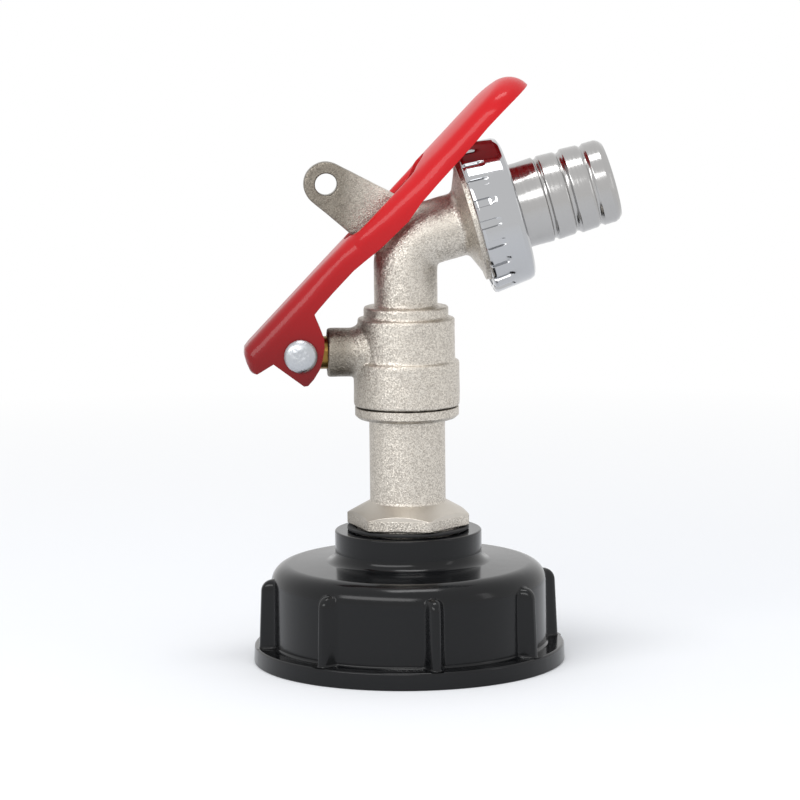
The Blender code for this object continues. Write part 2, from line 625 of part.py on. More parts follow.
def body_bore_profile():
    """The inside of the body: seal pocket, closing thread, ball chamber and the way up to the neck."""
    pocket_top = BODY_BOTTOM + SEAL_POCKET_DEPTH
    thread_bore = CLOSURE_THREAD_RADIUS + CLEARANCE
    thread_top = CLOSURE_TOP + CLEARANCE
    profile = [(0.0, COLLAR_TOP)]
    profile += [(FLOW_RADIUS + CLEARANCE, COLLAR_TOP)]
    profile += [(FLOW_RADIUS + CLEARANCE, SEAT_CEILING)]
    profile += [(CHAMBER_RADIUS, SEAT_CEILING)]
    profile += [(CHAMBER_RADIUS, thread_top)]
    profile += [(thread_bore, thread_top)]
    profile += [(thread_bore, pocket_top)]
    profile += [(SEAL_POCKET_RADIUS, pocket_top)]
    profile += [(SEAL_POCKET_RADIUS, BODY_BOTTOM - OVERRUN)]
    profile += [(0.0, BODY_BOTTOM - OVERRUN)]
    return profile


def stem_bore_profile():
    """The stem's bore through the boss, with the step that the thrust washer lies on."""
    step_radius = STEM_SHOULDER_RADIUS + CLEARANCE
    profile = [(0.0, BOSS_REACH + OVERRUN)]
    profile += [(STEM_BORE_RADIUS, BOSS_REACH + OVERRUN)]
    profile += [(STEM_BORE_RADIUS, THRUST_STEP)]
    profile += [(step_radius, THRUST_STEP)]
    profile += [(step_radius, 0.0)]
    profile += [(0.0, 0.0)]
    return profile


def build_body(parts, cutters):
    """The valve body: one casting with the neck, bend, spout, stem boss and padlock lug."""
    body = turned("valve_body", body_profile(), UPRIGHT, parts, ROUND_STEPS, ring=False)
    neck = tube("neck", neck_path(SEAT_CEILING, OUTLET_CONE_END), NECK_RADIUS, cutters, NECK_RESOLUTION)
    outlet = turned("outlet", outlet_profile(), SPOUT_FRAME, cutters, ROUND_STEPS, ring=False)
    boss = turned("boss", boss_profile(), STEM_FRAME, cutters, SMALL_STEPS, ring=False)
    lug = plate("lug", lug_outline(), LUG_THICKNESS, SIDE_FRAME, cutters)
    bevel(lug, LUG_EDGE, 1)
    hole_frame = Matrix.Translation((LUG_HOLE_X, 0.0, LUG_HOLE_Z)) @ SIDE_FRAME
    reach = LUG_THICKNESS
    hole = cylinder("lug_hole", LUG_HOLE_RADIUS, -reach, reach, hole_frame, cutters, HOLE_STEPS)
    boolean(lug, as_cutter(hole))
    for piece in (neck, outlet, boss, lug):
        boolean(body, as_cutter(piece), "UNION")
    bore = turned("body_bore", body_bore_profile(), UPRIGHT, cutters, SMALL_STEPS, ring=False)
    path = neck_path(COLLAR_TOP - CAST_ROUND, OUTLET_FACE + OVERRUN)
    way = tube("spout_bore", path, FLOW_RADIUS, cutters, WAY_RESOLUTION)
    stem_bore = turned("stem_bore", stem_bore_profile(), STEM_FRAME, cutters, SMALL_STEPS, ring=False)
    for piece in (bore, way, stem_bore):
        boolean(body, as_cutter(piece))
    return finish(body, (0.55, 0.52, 0.47), 0.4, 1.0)


def seat_profile(side):
    """One seat ring about the valve's axis, above the ball for side 1 and below it for side -1."""
    reach = BALL_RADIUS + CLEARANCE
    outer = CHAMBER_RADIUS - CLEARANCE
    front = SEAT_BACK - SEAT_THICKNESS
    start = math.degrees(math.asin(front / reach))
    end = math.degrees(math.acos(SEAT_BORE_RADIUS / reach))
    face = arc(0.0, 0.0, reach, start, end)
    loop = [(outer, SEAT_BACK), (outer, front)] + face + [(SEAT_BORE_RADIUS, SEAT_BACK)]
    if side < 0:
        loop.reverse()
    return [(radius, BALL_AXIS_HEIGHT + side * height) for radius, height in loop]


def build_seats(parts):
    """Two seat rings with round faces that hold the ball."""
    made = []
    for name, side in (("seat_outlet", 1), ("seat_inlet", -1)):
        seat = turned(name, seat_profile(side), UPRIGHT, parts, SMALL_STEPS)
        made.append(finish(seat, (0.85, 0.85, 0.83), 0.45, 0.0))
    return made


def build_ball(parts, cutters):
    """The chromed ball, closed: its bore lies across the flow, and its slot takes the stem's tang."""
    mesh = bpy.data.meshes.new("ball")
    form = bmesh.new()
    bmesh.ops.create_uvsphere(form, u_segments=BALL_SEGMENTS, v_segments=BALL_RINGS, radius=BALL_RADIUS)
    form.to_mesh(mesh)
    form.free()
    ball = add_object("ball", mesh, STEM_FRAME, parts)
    across = BALL_RADIUS + OVERRUN
    bore_frame = Matrix.Translation((0.0, 0.0, BALL_AXIS_HEIGHT)) @ SIDE_FRAME
    bore = cylinder("ball_bore", FLOW_RADIUS, -across, across, bore_frame, cutters)
    slot_mesh = bpy.data.meshes.new("ball_slot")
    form = bmesh.new()
    half = TANG_THICKNESS / 2 + CLEARANCE
    block(form, (-across, -half, BALL_RADIUS - SLOT_DEPTH), (across, half, across))
    form.to_mesh(slot_mesh)
    form.free()
    slot = add_object("ball_slot", slot_mesh, STEM_FRAME, cutters)
    for piece in (bore, slot):
        boolean(ball, as_cutter(piece))
    return finish(ball, (0.6, 0.6, 0.61), 0.12, 1.0)


def stem_profile():
    """The stem, turned about its axis, from its outer end to the inner shoulder."""
    profile = [(0.0, STEM_END)]
    profile += [(STEM_RADIUS - STEM_EDGE, STEM_END)]
    profile += [(STEM_RADIUS, STEM_END - STEM_EDGE)]
    for index in (1, 0):
        middle = RING_FIRST + RING_PITCH * index
        floor = STEM_RADIUS - RING_GROOVE_DEPTH
        profile += [(STEM_RADIUS, middle + RING_GROOVE_WIDTH / 2)]
        profile += [(floor, middle + RING_GROOVE_WIDTH / 2)]
        profile += [(floor, middle - RING_GROOVE_WIDTH / 2)]
        profile += [(STEM_RADIUS, middle - RING_GROOVE_WIDTH / 2)]
    profile += [(STEM_RADIUS, STEM_SHOULDER_END)]
    profile += [(STEM_SHOULDER_RADIUS, STEM_SHOULDER_END)]
    profile += [(STEM_SHOULDER_RADIUS, STEM_SHOULDER_START)]
    profile += [(0.0, STEM_SHOULDER_START)]
    return profile


def build_stem(parts, cutters):
    """The brass stem with its tang, shoulder, ring grooves and the hole for the rivet."""
    stem = turned("stem", stem_profile(), STEM_FRAME, parts, SMALL_STEPS, ring=False)
    mesh = bpy.data.meshes.new("stem_tang")
    form = bmesh.new()
    low = (-TANG_HEIGHT / 2, -TANG_THICKNESS / 2, BALL_RADIUS - SLOT_DEPTH + CLEARANCE)
    high = (TANG_HEIGHT / 2, TANG_THICKNESS / 2, STEM_SHOULDER_START + STEM_SHOULDER_LENGTH / 2)
    block(form, low, high)
    form.to_mesh(mesh)
    form.free()
    tang = add_object("stem_tang", mesh, STEM_FRAME, cutters)
    boolean(stem, as_cutter(tang), "UNION")
    reach = STEM_RADIUS + OVERRUN
    hole = cylinder("stem_hole", RIVET_RADIUS + CLEARANCE, -reach, reach, PIVOT_FRAME, cutters, HOLE_STEPS)
    boolean(stem, as_cutter(hole))
    return finish(stem, (0.62, 0.44, 0.2), 0.3, 1.0)


def build_stem_rings(parts):
    """The thrust washer under the stem's shoulder and the two sealing rings in its grooves."""
    bottom = STEM_SHOULDER_END + CLEARANCE
    profile = ring_profile(STEM_BORE_RADIUS, STEM_SHOULDER_RADIUS, bottom, bottom + THRUST_WASHER_THICKNESS)
    washer = turned("stem_thrust_washer", profile, STEM_FRAME, parts, SMALL_STEPS)
    made = [finish(washer, (0.85, 0.85, 0.83), 0.45, 0.0)]
    radius = STEM_BORE_RADIUS - CLEARANCE - RING_SECTION
    for index, name in enumerate(("stem_o_ring_inner", "stem_o_ring_outer")):
        height = RING_FIRST + RING_PITCH * index
        ring = o_ring(name, radius, height, RING_SECTION, STEM_FRAME, parts)
        made.append(finish(ring, (0.02, 0.02, 0.02), 0.6, 0.0))
    return made


def build_rivet(parts):
    """The rivet: a domed head in front, a plain shank and a flatter formed end behind."""
    front = LEVER_PIVOT_HALF_WIDTH + CLEARANCE
    top = front + RIVET_HEAD_HEIGHT
    rise = RIVET_HEAD_HEIGHT - RIVET_HEAD_RIM
    dome = (RIVET_HEAD_RADIUS ** 2 + rise ** 2) / (2 * rise)
    spread = math.degrees(math.asin(RIVET_HEAD_RADIUS / dome))
    profile = arc(0.0, top - dome, dome, 90, 90 - spread, 5)
    profile[0] = (0.0, top)
    profile += [(RIVET_HEAD_RADIUS, front)]
    profile += [(RIVET_RADIUS, front)]
    profile += [(RIVET_RADIUS, -front)]
    profile += [(RIVET_TAIL_RADIUS, -front)]
    profile += [(RIVET_TAIL_RADIUS, -front - RIVET_HEAD_RIM)]
    profile += [(RIVET_RADIUS, -front - RIVET_TAIL_HEIGHT)]
    profile += [(0.0, -front - RIVET_TAIL_HEIGHT)]
    rivet = turned("lever_rivet", profile, PIVOT_FRAME, parts, RIVET_STEPS, ring=False)
    return finish(rivet, (0.6, 0.61, 0.62), 0.35, 1.0)


def blend(points, place):
    """Reads a height off a list of (place, height) points, straight between them."""
    if place <= points[0][0]:
        return points[0][1]
    for (s0, n0), (s1, n1) in zip(points, points[1:]):
        if place <= s1:
            return n0 + (n1 - n0) * (place - s0) / (s1 - s0)
    return points[-1][1]


def lever_top_line():
    return [(-LEVER_TAIL * back, LEVER_CROWN * rise) for back, rise in TAIL_TOP_SHARES]


def lever_edge_line():
    """The lower edge of the channel's side walls, from the tail past the cheeks to the grip."""
    line = [(-LEVER_TAIL * back, LEVER_CROWN * rise) for back, rise in TAIL_EDGE_SHARES]
    line += [(LOBE_REACH * along, -LOBE_DEPTH * down) for along, down in LOBE_SHARES]
    line += [(LEVER_LENGTH * along, LEVER_FLANGE_EDGE * rise) for along, rise in EDGE_SHARES]
    return line


def lever_taper(place):
    """How far the channel has widened: 0 at the pivot, 1 at the grip."""
    share = (place - LEVER_TAPER_START) / (LEVER_TAPER_END - LEVER_TAPER_START)
    share = min(max(share, 0.0), 1.0)
    return share * share * (3.0 - 2.0 * share)


def lever_half_width(place):
    """Half the width across the channel, with the corners of its tail rounded off in plan."""
    width = LEVER_PIVOT_HALF_WIDTH + (LEVER_GRIP_HALF_WIDTH - LEVER_PIVOT_HALF_WIDTH) * lever_taper(place)
    short = min(max(LEVER_TAIL_ROUND - LEVER_TAIL - place, 0.0), LEVER_TAIL_ROUND)
    return width - LEVER_TAIL_ROUND + math.sqrt(LEVER_TAIL_ROUND ** 2 - short ** 2)


def lever_dome(place):
    return LEVER_TAIL_DOME + (LEVER_GRIP_DOME - LEVER_TAIL_DOME) * lever_taper(place)


def lever_section(width, top, edge, corner, dome):
    """Half of a section, as (distance from the middle, height) from the crown to the lower edge."""
    fall = top - edge
    dome = min(dome, fall / 3)
    corner = min(corner, fall - dome / 3 - LEVER_WALL_LEAST)
    lean = 0.0
    for step in range(LEAN_STEPS):
        meet = width - corner + corner * math.sin(lean)
        lean = math.atan(2 * dome * meet / width ** 2)
    section = []
    for step in range(CROWN_STEPS):
        out = meet * step / CROWN_STEPS
        section.append((out, top - dome * (out / width) ** 2))
    centre = top - dome * (meet / width) ** 2 - corner * math.cos(lean)
    section += arc(width - corner, max(centre, edge), corner, 90 - math.degrees(lean), 0)
    section += [(width, edge)]
    return section


def lever_rows():
    """Half of the channel's outer skin, as rows of points from the crown's middle to the edge."""
    top_line = lever_top_line()
    edge_line = lever_edge_line()
    places = sorted({s for s, n in top_line} | {s for s, n in edge_line if s < TIP_CENTRE} | {TIP_CENTRE})
    rows = []
    for s in places:
        top = blend(top_line, s)
        edge = blend(edge_line, s)
        section = lever_section(lever_half_width(s), top, edge, LEVER_CORNER, lever_dome(s))
        rows.append([Vector((s, -y, n)) for y, n in section])
    side_edge = blend(edge_line, TIP_CENTRE)
    for step in range(1, TIP_STEPS + 1):
        share = step / TIP_STEPS
        angle = share * math.pi / 2
        round_share = share * share * (3.0 - 2.0 * share)
        corner = LEVER_CORNER + (LEVER_TIP_CORNER - LEVER_CORNER) * round_share
        edge = side_edge + (LEVER_TIP_EDGE - side_edge) * round_share
        section = lever_section(LEVER_GRIP_HALF_WIDTH, LEVER_CROWN, edge, corner, LEVER_GRIP_DOME)
        away = Vector((math.sin(angle), -math.cos(angle), 0.0))
        rows.append([Vector((TIP_CENTRE, 0.0, n)) + away * reach for reach, n in section])
    return rows


def build_lever(parts, cutters):
    """The pressed channel: half of its skin, mirrored, thickened inwards, then slotted and drilled."""
    mesh = bpy.data.meshes.new("lever")
    form = bmesh.new()
    grid = [[form.verts.new(point) for point in row] for row in lever_rows()]
    for near, far in zip(grid, grid[1:]):
        for index in range(len(near) - 1):
            form.faces.new((near[index], near[index + 1], far[index + 1], far[index]))
    bmesh.ops.remove_doubles(form, verts=form.verts, dist=MERGE)
    bmesh.ops.dissolve_degenerate(form, edges=form.edges, dist=MERGE)
    form.to_mesh(mesh)
    form.free()
    lever = add_object("lever", mesh, LEVER_FRAME, parts)
    mirror = lever.modifiers.new("Both sides", "MIRROR")
    mirror.use_axis = (False, True, False)
    mirror.merge_threshold = MERGE
    solid = lever.modifiers.new("Sheet", "SOLIDIFY")
    solid.thickness = LEVER_SHEET
    solid.offset = -1.0
    boolean(lever, build_lever_slot(cutters))
    reach = LEVER_PIVOT_HALF_WIDTH + OVERRUN
    hole = cylinder("lever_holes", RIVET_RADIUS + CLEARANCE, -reach, reach, PIVOT_FRAME, cutters, HOLE_STEPS)
    boolean(lever, as_cutter(hole))
    return finish(lever, (0.62, 0.01, 0.012), 0.2, 0.0)


def build_lever_slot(cutters):
    """The long round-ended slot in the crown that the padlock lug comes up through."""
    outline = []
    for centre, start in ((SLOT_END - SLOT_HALF_WIDTH, -90), (SLOT_START + SLOT_HALF_WIDTH, 90)):
        outline += arc(centre, 0.0, SLOT_HALF_WIDTH, start, start + 180, SLOT_END_STEPS)
    frame = LEVER_FRAME @ Matrix.Translation((0.0, 0.0, LEVER_CROWN - LEVER_SHEET / 2))
    return as_cutter(plate("lever_slot", outline, LEVER_SHEET + OVERRUN * 2, frame, cutters))


def nut_profile():
    """The union nut: a threaded bore behind and an inward wall in front."""
    wall = NUT_FRONT - NUT_FRONT_WALL
    hole = BARB_CREST_RADIUS + CLEARANCE
    profile = [(hole, NUT_FRONT)]
    profile += [(NUT_FRONT_RADIUS - NUT_FRONT_EDGE, NUT_FRONT)]
    profile += [(NUT_FRONT_RADIUS - NUT_FRONT_EDGE / 3, NUT_FRONT - NUT_FRONT_EDGE / 3)]
    profile += [(NUT_FRONT_RADIUS, NUT_FRONT - NUT_FRONT_EDGE)]
    profile += [(NUT_BACK_RADIUS, NUT_BACK + NUT_BACK_EDGE)]
    profile += [(NUT_BACK_RADIUS - NUT_BACK_EDGE / 3, NUT_BACK + NUT_BACK_EDGE / 3)]
    profile += [(NUT_BACK_RADIUS - NUT_BACK_EDGE, NUT_BACK)]
    profile += [(NUT_BORE_RADIUS, NUT_BACK)]
    profile += [(NUT_BORE_RADIUS, wall)]
    profile += [(hole, wall)]
    return profile


def build_nut(parts, cutters):
    """The chromed union nut with notches milled in from its back face."""
    nut = turned("union_nut", nut_profile(), SPOUT_FRAME, parts, NOTCH_COUNT * 2)
    mesh = bpy.data.meshes.new("nut_notches")
    form = bmesh.new()
    for index in range(NOTCH_COUNT):
        turn = Matrix.Rotation((index + 0.5) * math.tau / NOTCH_COUNT, 4, "Z")
        floor = NUT_BACK_RADIUS - NOTCH_DEPTH
        end = NUT_BACK + NOTCH_LENGTH
        low = (floor, -NOTCH_WIDTH / 2, NUT_BACK - OVERRUN)
        verts = block(form, low, (NUT_BACK_RADIUS + OVERRUN, NOTCH_WIDTH / 2, end), turn)
        local = turn.inverted()
        for vert in verts:
            place = local @ vert.co
            if place.z > NUT_BACK:
                place.y = 0.0
                vert.co = turn @ place
        bmesh.ops.remove_doubles(form, verts=verts, dist=MERGE)
    form.to_mesh(mesh)
    form.free()
    notches = add_object("nut_notches", mesh, SPOUT_FRAME, cutters)
    boolean(nut, as_cutter(notches))
    return finish(nut, (0.62, 0.62, 0.63), 0.08, 1.0)


def tail_profile():
    """The hose tail: a collar inside the nut, a neck and barbs with a rounded end."""
    collar_end = TAIL_COLLAR_START + TAIL_COLLAR_THICKNESS
    profile = [(TAIL_BORE_RADIUS, TAIL_END)]
    profile += [(TAIL_END_RADIUS, TAIL_END)]
    profile += [(TAIL_LAND_RADIUS - BARB_STEP / 3, TAIL_LAND_END + BARB_STEP)]
    profile += [(TAIL_LAND_RADIUS, TAIL_LAND_END)]
    profile += [(TAIL_LAND_RADIUS, TAIL_LAND_START)]
    profile += [(BARB_GROOVE_RADIUS, TAIL_LAND_START - BARB_STEP / 2)]
    for start in reversed(BARB_STARTS):
        profile += [(BARB_ROOT_RADIUS, start + BARB_LENGTH)]
        profile += [(BARB_CREST_RADIUS, start + BARB_STEP / 2)]
        profile += [(BARB_CREST_RADIUS - BARB_STEP / 3, start)]
        profile += [(BARB_GROOVE_RADIUS, start - BARB_STEP / 2)]
    profile += [(BARB_ROOT_RADIUS, BARB_STARTS[0] - BARB_STEP * 2)]
    profile += [(TAIL_NECK_RADIUS, FIRST_TAPER_START)]
    profile += [(TAIL_NECK_RADIUS, collar_end)]
    profile += [(TAIL_COLLAR_RADIUS, collar_end)]
    profile += [(TAIL_COLLAR_RADIUS, TAIL_COLLAR_START)]
    profile += [(TAIL_BORE_RADIUS, TAIL_COLLAR_START)]
    return profile


def build_hose_tail(parts):
    """The hose tail and the flat ring between it and the body."""
    tail = turned("hose_tail", tail_profile(), SPOUT_FRAME, parts, ROUND_STEPS)
    top = GASKET_RING_START + GASKET_RING_THICKNESS
    profile = ring_profile(TAIL_BORE_RADIUS, GASKET_RING_RADIUS, GASKET_RING_START, top)
    gasket = turned("tail_gasket", profile, SPOUT_FRAME, parts, SMALL_STEPS)
    return [finish(tail, (0.6, 0.6, 0.6), 0.18, 1.0), finish(gasket, (0.02, 0.02, 0.02), 0.7, 0.0)]


def main():
    clear_scene()
    parts = collection("ibc_tank_valve")
    cutters = collection("cutters")
    build_cap(parts, cutters)
    build_cap_gasket(parts)
    build_inlet_washer(parts)
    build_inlet_tailpiece(parts, cutters)
    build_body_seal(parts)
    build_body(parts, cutters)
    build_seats(parts)
    build_ball(parts, cutters)
    build_stem(parts, cutters)
    build_stem_rings(parts)
    build_rivet(parts)
    build_lever(parts, cutters)
    build_nut(parts, cutters)
    build_hose_tail(parts)
    bpy.context.view_layer.update()


main()
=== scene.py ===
# A lockable ball bibcock on a screw cap for a tank outlet, as it is put together:
# cap, inlet, cast body, stem, rivet and lever, hose tail and union nut, then the studio round it.

import math

import bmesh
import bpy
from mathutils import Matrix, Vector, noise


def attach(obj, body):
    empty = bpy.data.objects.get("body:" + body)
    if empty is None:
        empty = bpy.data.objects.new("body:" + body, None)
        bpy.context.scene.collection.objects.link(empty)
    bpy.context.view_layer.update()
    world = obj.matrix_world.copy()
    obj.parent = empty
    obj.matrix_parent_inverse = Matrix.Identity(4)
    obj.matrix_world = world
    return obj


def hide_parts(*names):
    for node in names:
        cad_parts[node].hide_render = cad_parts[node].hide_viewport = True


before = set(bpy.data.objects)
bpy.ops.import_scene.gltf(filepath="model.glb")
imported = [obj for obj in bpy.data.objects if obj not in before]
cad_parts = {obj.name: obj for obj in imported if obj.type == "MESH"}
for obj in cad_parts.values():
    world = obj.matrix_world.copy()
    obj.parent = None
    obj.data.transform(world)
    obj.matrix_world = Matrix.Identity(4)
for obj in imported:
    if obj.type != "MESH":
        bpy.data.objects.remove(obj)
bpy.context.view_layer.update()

# Cap: one moulding of black polypropylene with eight grip ribs, a coarse female thread for the
# tank outlet and a neck that the inlet screws into. The mould's polish gives it a soft gloss.
MM = 0.001
WELD = 0.0005
UPRIGHT = Matrix.Identity(4)
CAP_RIBS = 8
CAP_RIB_FIRST = math.radians(6.3 - 90.0)
CAP_RIB_TOP = 21.6
CAP_RIB_ROUND = 2.8
CAP_RIB_FOOT_REACH = 38.0
CAP_RIB_LEAN = 0.045
CAP_RIB_CREST = 0.5
CAP_RIB_ROOT = 2.9
CAP_RIB_RADIUS = 36.0
CAP_SKIRT_FOOT = 34.6
CAP_SKIRT_TOP = 34.3
CAP_FLANGE_TOP = 4.4
CAP_FLANGE_RADIUS = 39.0
CAP_THREAD_ROOT = 30.2
CAP_THREAD_DEPTH = 1.9
CAP_THREAD_PITCH = 6.0
CAP_THREAD_START = 1.6
CAP_THREAD_END = 17.0


def rounded(corners, degrees=10.0, closed=True):
    """An outline through corners (radius, height, fillet) with true arcs for the fillets."""
    line = []
    last = len(corners) - 1
    for index, (radius, height, fillet) in enumerate(corners):
        here = Vector((radius, height))
        if fillet == 0.0 or (not closed and index in (0, last)):
            line.append(here)
            continue
        back = (Vector(corners[index - 1][:2]) - here).normalized()
        ahead = (Vector(corners[(index + 1) % len(corners)][:2]) - here).normalized()
        half = back.angle(ahead) / 2
        centre = here + (back + ahead).normalized() * fillet / math.sin(half)
        start = here + back * fillet / math.tan(half) - centre
        turn = start.angle_signed(here + ahead * fillet / math.tan(half) - centre)
        steps = max(2, math.ceil(abs(math.degrees(turn)) / degrees))
        for step in range(steps + 1):
            line.append(centre + Matrix.Rotation(-turn * step / steps, 2) @ start)
    return line


def divided(line, longest, low, high):
    """The outline with its long straight stretches between two heights cut into short steps."""
    made = []
    for here, there in zip(line, line[1:] + line[:1]):
        made.append(here)
        inside = low <= min(here.y, there.y) and max(here.y, there.y) <= high
        steps = math.ceil((there - here).length / longest) if inside else 1
        made += [here.lerp(there, step / steps) for step in range(1, steps)]
    return made


def turned(line, angles, shape=None):
    """A solid turned about Z. The outline may be a function of the angle, and shape(radius, height,
    angle) may move a point in or out."""
    form = bmesh.new()
    columns = []
    for angle in angles:
        column = []
        for radius, height in (line(angle) if callable(line) else line):
            reach = shape(radius, height, angle) if shape else radius
            column.append(form.verts.new((reach * math.cos(angle), reach * math.sin(angle), height)))
        columns.append(column)
    for near, far in zip(columns, columns[1:] + columns[:1]):
        for low in range(len(near)):
            high = (low + 1) % len(near)
            form.faces.new((near[low], far[low], far[high], near[high]))
    return form


def welded(form):
    """Merges the points that fall together on the axis and turns every face outwards."""
    bmesh.ops.remove_doubles(form, verts=form.verts, dist=WELD)
    bmesh.ops.recalc_face_normals(form, faces=form.faces)
    return form


def even(count):
    """Angles at equal steps all the way round."""
    return [math.tau * step / count for step in range(count)]


def made_of(name, form, place=UPRIGHT, sharp=38.0):
    """Turns a bmesh in millimetres into an object in metres, shaded smooth between its fillets."""
    bmesh.ops.remove_doubles(form, verts=form.verts, dist=WELD)
    bmesh.ops.dissolve_degenerate(form, edges=form.edges, dist=WELD)
    bmesh.ops.recalc_face_normals(form, faces=form.faces)
    mesh = bpy.data.meshes.new(name)
    form.transform(Matrix.Scale(MM, 4) @ place)
    form.to_mesh(mesh)
    form.free()
    mesh.shade_smooth()
    mesh.set_sharp_from_angle(angle=math.radians(sharp))
    piece = bpy.data.objects.new(name, mesh)
    bpy.context.scene.collection.objects.link(piece)
    return piece


def evenly_shaded(piece):
    """Lets the large faces set the shading, so that flats beside a fillet stay flat."""
    weigh = piece.modifiers.new("Even shading", "WEIGHTED_NORMAL")
    weigh.keep_sharp = True
    return piece


def smoothly(share):
    """From 0 to 1 with a soft start and end."""
    share = min(max(share, 0.0), 1.0)
    return share * share * (3.0 - 2.0 * share)


def larger(first, second, blend):
    """The larger of two lengths, with a soft change from one to the other."""
    overlap = max(blend - abs(first - second), 0.0) / blend
    return max(first, second) + overlap * overlap * blend / 4


def helix(height, angle, pitch):
    """How far along its pitch a thread is at this height and angle, from 0 at a crest to 1 at the next."""
    return (height / pitch - angle / math.tau) % 1.0


def rib_reach(height, angle):
    """The radius that the nearest grip rib reaches here, and how fully this point belongs to it."""
    spacing = math.tau / CAP_RIBS
    away = (angle - CAP_RIB_FIRST + spacing / 2) % spacing - spacing / 2
    across = abs(away) * CAP_RIB_RADIUS
    share = 1.0 - smoothly((across - CAP_RIB_CREST) / (CAP_RIB_ROOT - CAP_RIB_CREST))
    reach = CAP_RIB_FOOT_REACH - CAP_RIB_LEAN * (height - CAP_FLANGE_TOP)
    arch = CAP_RIB_ROOT - math.sqrt(max(CAP_RIB_ROOT ** 2 - across ** 2, 0.0))
    rise = height + arch - (CAP_RIB_TOP - CAP_RIB_ROUND)
    if rise >= CAP_RIB_ROUND:
        return 0.0, share
    if rise > 0.0:
        reach -= CAP_RIB_ROUND - math.sqrt(CAP_RIB_ROUND ** 2 - rise ** 2)
    return reach, share


def cap_shape(radius, height, angle):
    """Moves the plain cap's skin out to its ribs and the cavity's wall in to its thread."""
    if radius < CAP_THREAD_ROOT + 0.1 and height < CAP_THREAD_END + 2.0 and radius > 25.0:
        phase = helix(height, angle, CAP_THREAD_PITCH)
        crest = smoothly((0.5 - abs(phase - 0.5) - 0.14) / 0.2)
        ends = smoothly((height - CAP_THREAD_START) / 2.0) * smoothly((CAP_THREAD_END - height) / 2.0)
        return radius - CAP_THREAD_DEPTH * crest * ends
    if radius < CAP_THREAD_ROOT + 0.1 or height < CAP_FLANGE_TOP - 0.01:
        return radius
    reach, share = rib_reach(max(height, CAP_FLANGE_TOP), angle)
    if height > CAP_FLANGE_TOP + 1.2 or radius < CAP_SKIRT_FOOT - 0.2:
        if reach < radius - 1.0:
            return radius
        return larger(radius, radius + (reach - radius) * share, max(0.5 * share, 0.01))
    spread = CAP_SKIRT_FOOT + max(reach - CAP_SKIRT_FOOT, 0.0) * share
    place = max(radius - CAP_SKIRT_FOOT, 0.0) / (CAP_FLANGE_RADIUS - CAP_SKIRT_FOOT)
    return spread + (CAP_FLANGE_RADIUS - spread) * place


cap_line = rounded((
    (13.5, 33.0, 0.0), (18.36, 33.0, 0.45), (18.3, 25.3, 2.6), (26.0, 24.9, 2.0),
    (CAP_SKIRT_TOP + 0.1, 24.5, 4.9), (CAP_SKIRT_FOOT, CAP_FLANGE_TOP, 0.7),
    (CAP_FLANGE_RADIUS - 0.15, CAP_FLANGE_TOP, 0.6), (CAP_FLANGE_RADIUS, 0.0, 0.35),
    (31.4, 0.0, 0.3), (CAP_THREAD_ROOT, 1.2, 0.3), (CAP_THREAD_ROOT, 21.3, 0.6), (13.5, 21.3, 0.0)), 5.0)
cap_line = divided(cap_line, 0.35, 1.0, 24.0)
cap_angles = []
for rib in range(CAP_RIBS):
    middle = CAP_RIB_FIRST + rib * math.tau / CAP_RIBS
    flank = [CAP_RIB_ROOT * step / 9 / CAP_RIB_RADIUS for step in range(-10, 11)]
    cap_angles += [middle + away for away in flank]
    gap = math.tau / CAP_RIBS - 2 * flank[-1]
    cap_angles += [middle + flank[-1] + gap * step / 12 for step in range(1, 12)]
cap = made_of("cap", turned(cap_line, cap_angles, cap_shape), sharp=50.0)


def linear(code):
    """An sRGB hex colour as Blender's linear colour."""
    parts = [int(code[place:place + 2], 16) / 255 for place in (1, 3, 5)]
    flat = [part / 12.92 if part <= 0.04045 else ((part + 0.055) / 1.055) ** 2.4 for part in parts]
    return (*flat, 1.0)


def add(tree, kind, links=(), **settings):
    """Adds a node. Settings name its sockets or properties; links are (socket, source socket) pairs."""
    made = tree.nodes.new("ShaderNode" + kind)
    for name, value in settings.items():
        socket = name.replace("_", " ").title() if not name.startswith("in") else int(name[2:])
        if hasattr(made, name):
            setattr(made, name, value)
        else:
            made.inputs[socket].default_value = value
    for name, source in links:
        tree.links.new(source, made.inputs[name])
    return made


def finish(name, colour, metallic, roughness, **settings):
    """A new material with its Principled shader; the surface's detail is linked in by its section."""
    material = bpy.data.materials.new(name)
    material.use_nodes = True
    shader = material.node_tree.nodes["Principled BSDF"]
    shader.inputs["Base Color"].default_value = linear(colour)
    shader.inputs["Metallic"].default_value = metallic
    shader.inputs["Roughness"].default_value = roughness
    for socket, value in settings.items():
        shader.inputs[socket.replace("_", " ")].default_value = value
    return material, material.node_tree, shader


def mixed(tree, factor, first, second, **settings):
    """The colour between two others, each a hex code or another node's colour."""
    mix = add(tree, "Mix", [("Factor", factor)], data_type="RGBA", **settings)
    for socket, colour in ((6, first), (7, second)):
        if isinstance(colour, str):
            mix.inputs[socket].default_value = linear(colour)
        else:
            tree.links.new(colour, mix.inputs[socket])
    return mix.outputs[2]


def raised(tree, shader, height, strength, depth):
    """Lets a texture stand up from the surface, by up to a depth in millimetres."""
    bump = add(tree, "Bump", [("Height", height)], strength=strength, distance=depth * MM)
    tree.links.new(bump.outputs["Normal"], shader.inputs["Normal"])
    return bump


def place_of(tree):
    """A point's place on its piece in metres, which textures are laid out by."""
    return add(tree, "TexCoord").outputs["Object"]


def per_mm(size):
    """A noise or cell scale, for a coordinate in metres, whose features are this many millimetres apart."""
    return 1.0 / (size * MM)


def dress(piece, material):
    """Gives a piece its one material."""
    piece.data.materials.clear()
    piece.data.materials.append(material)


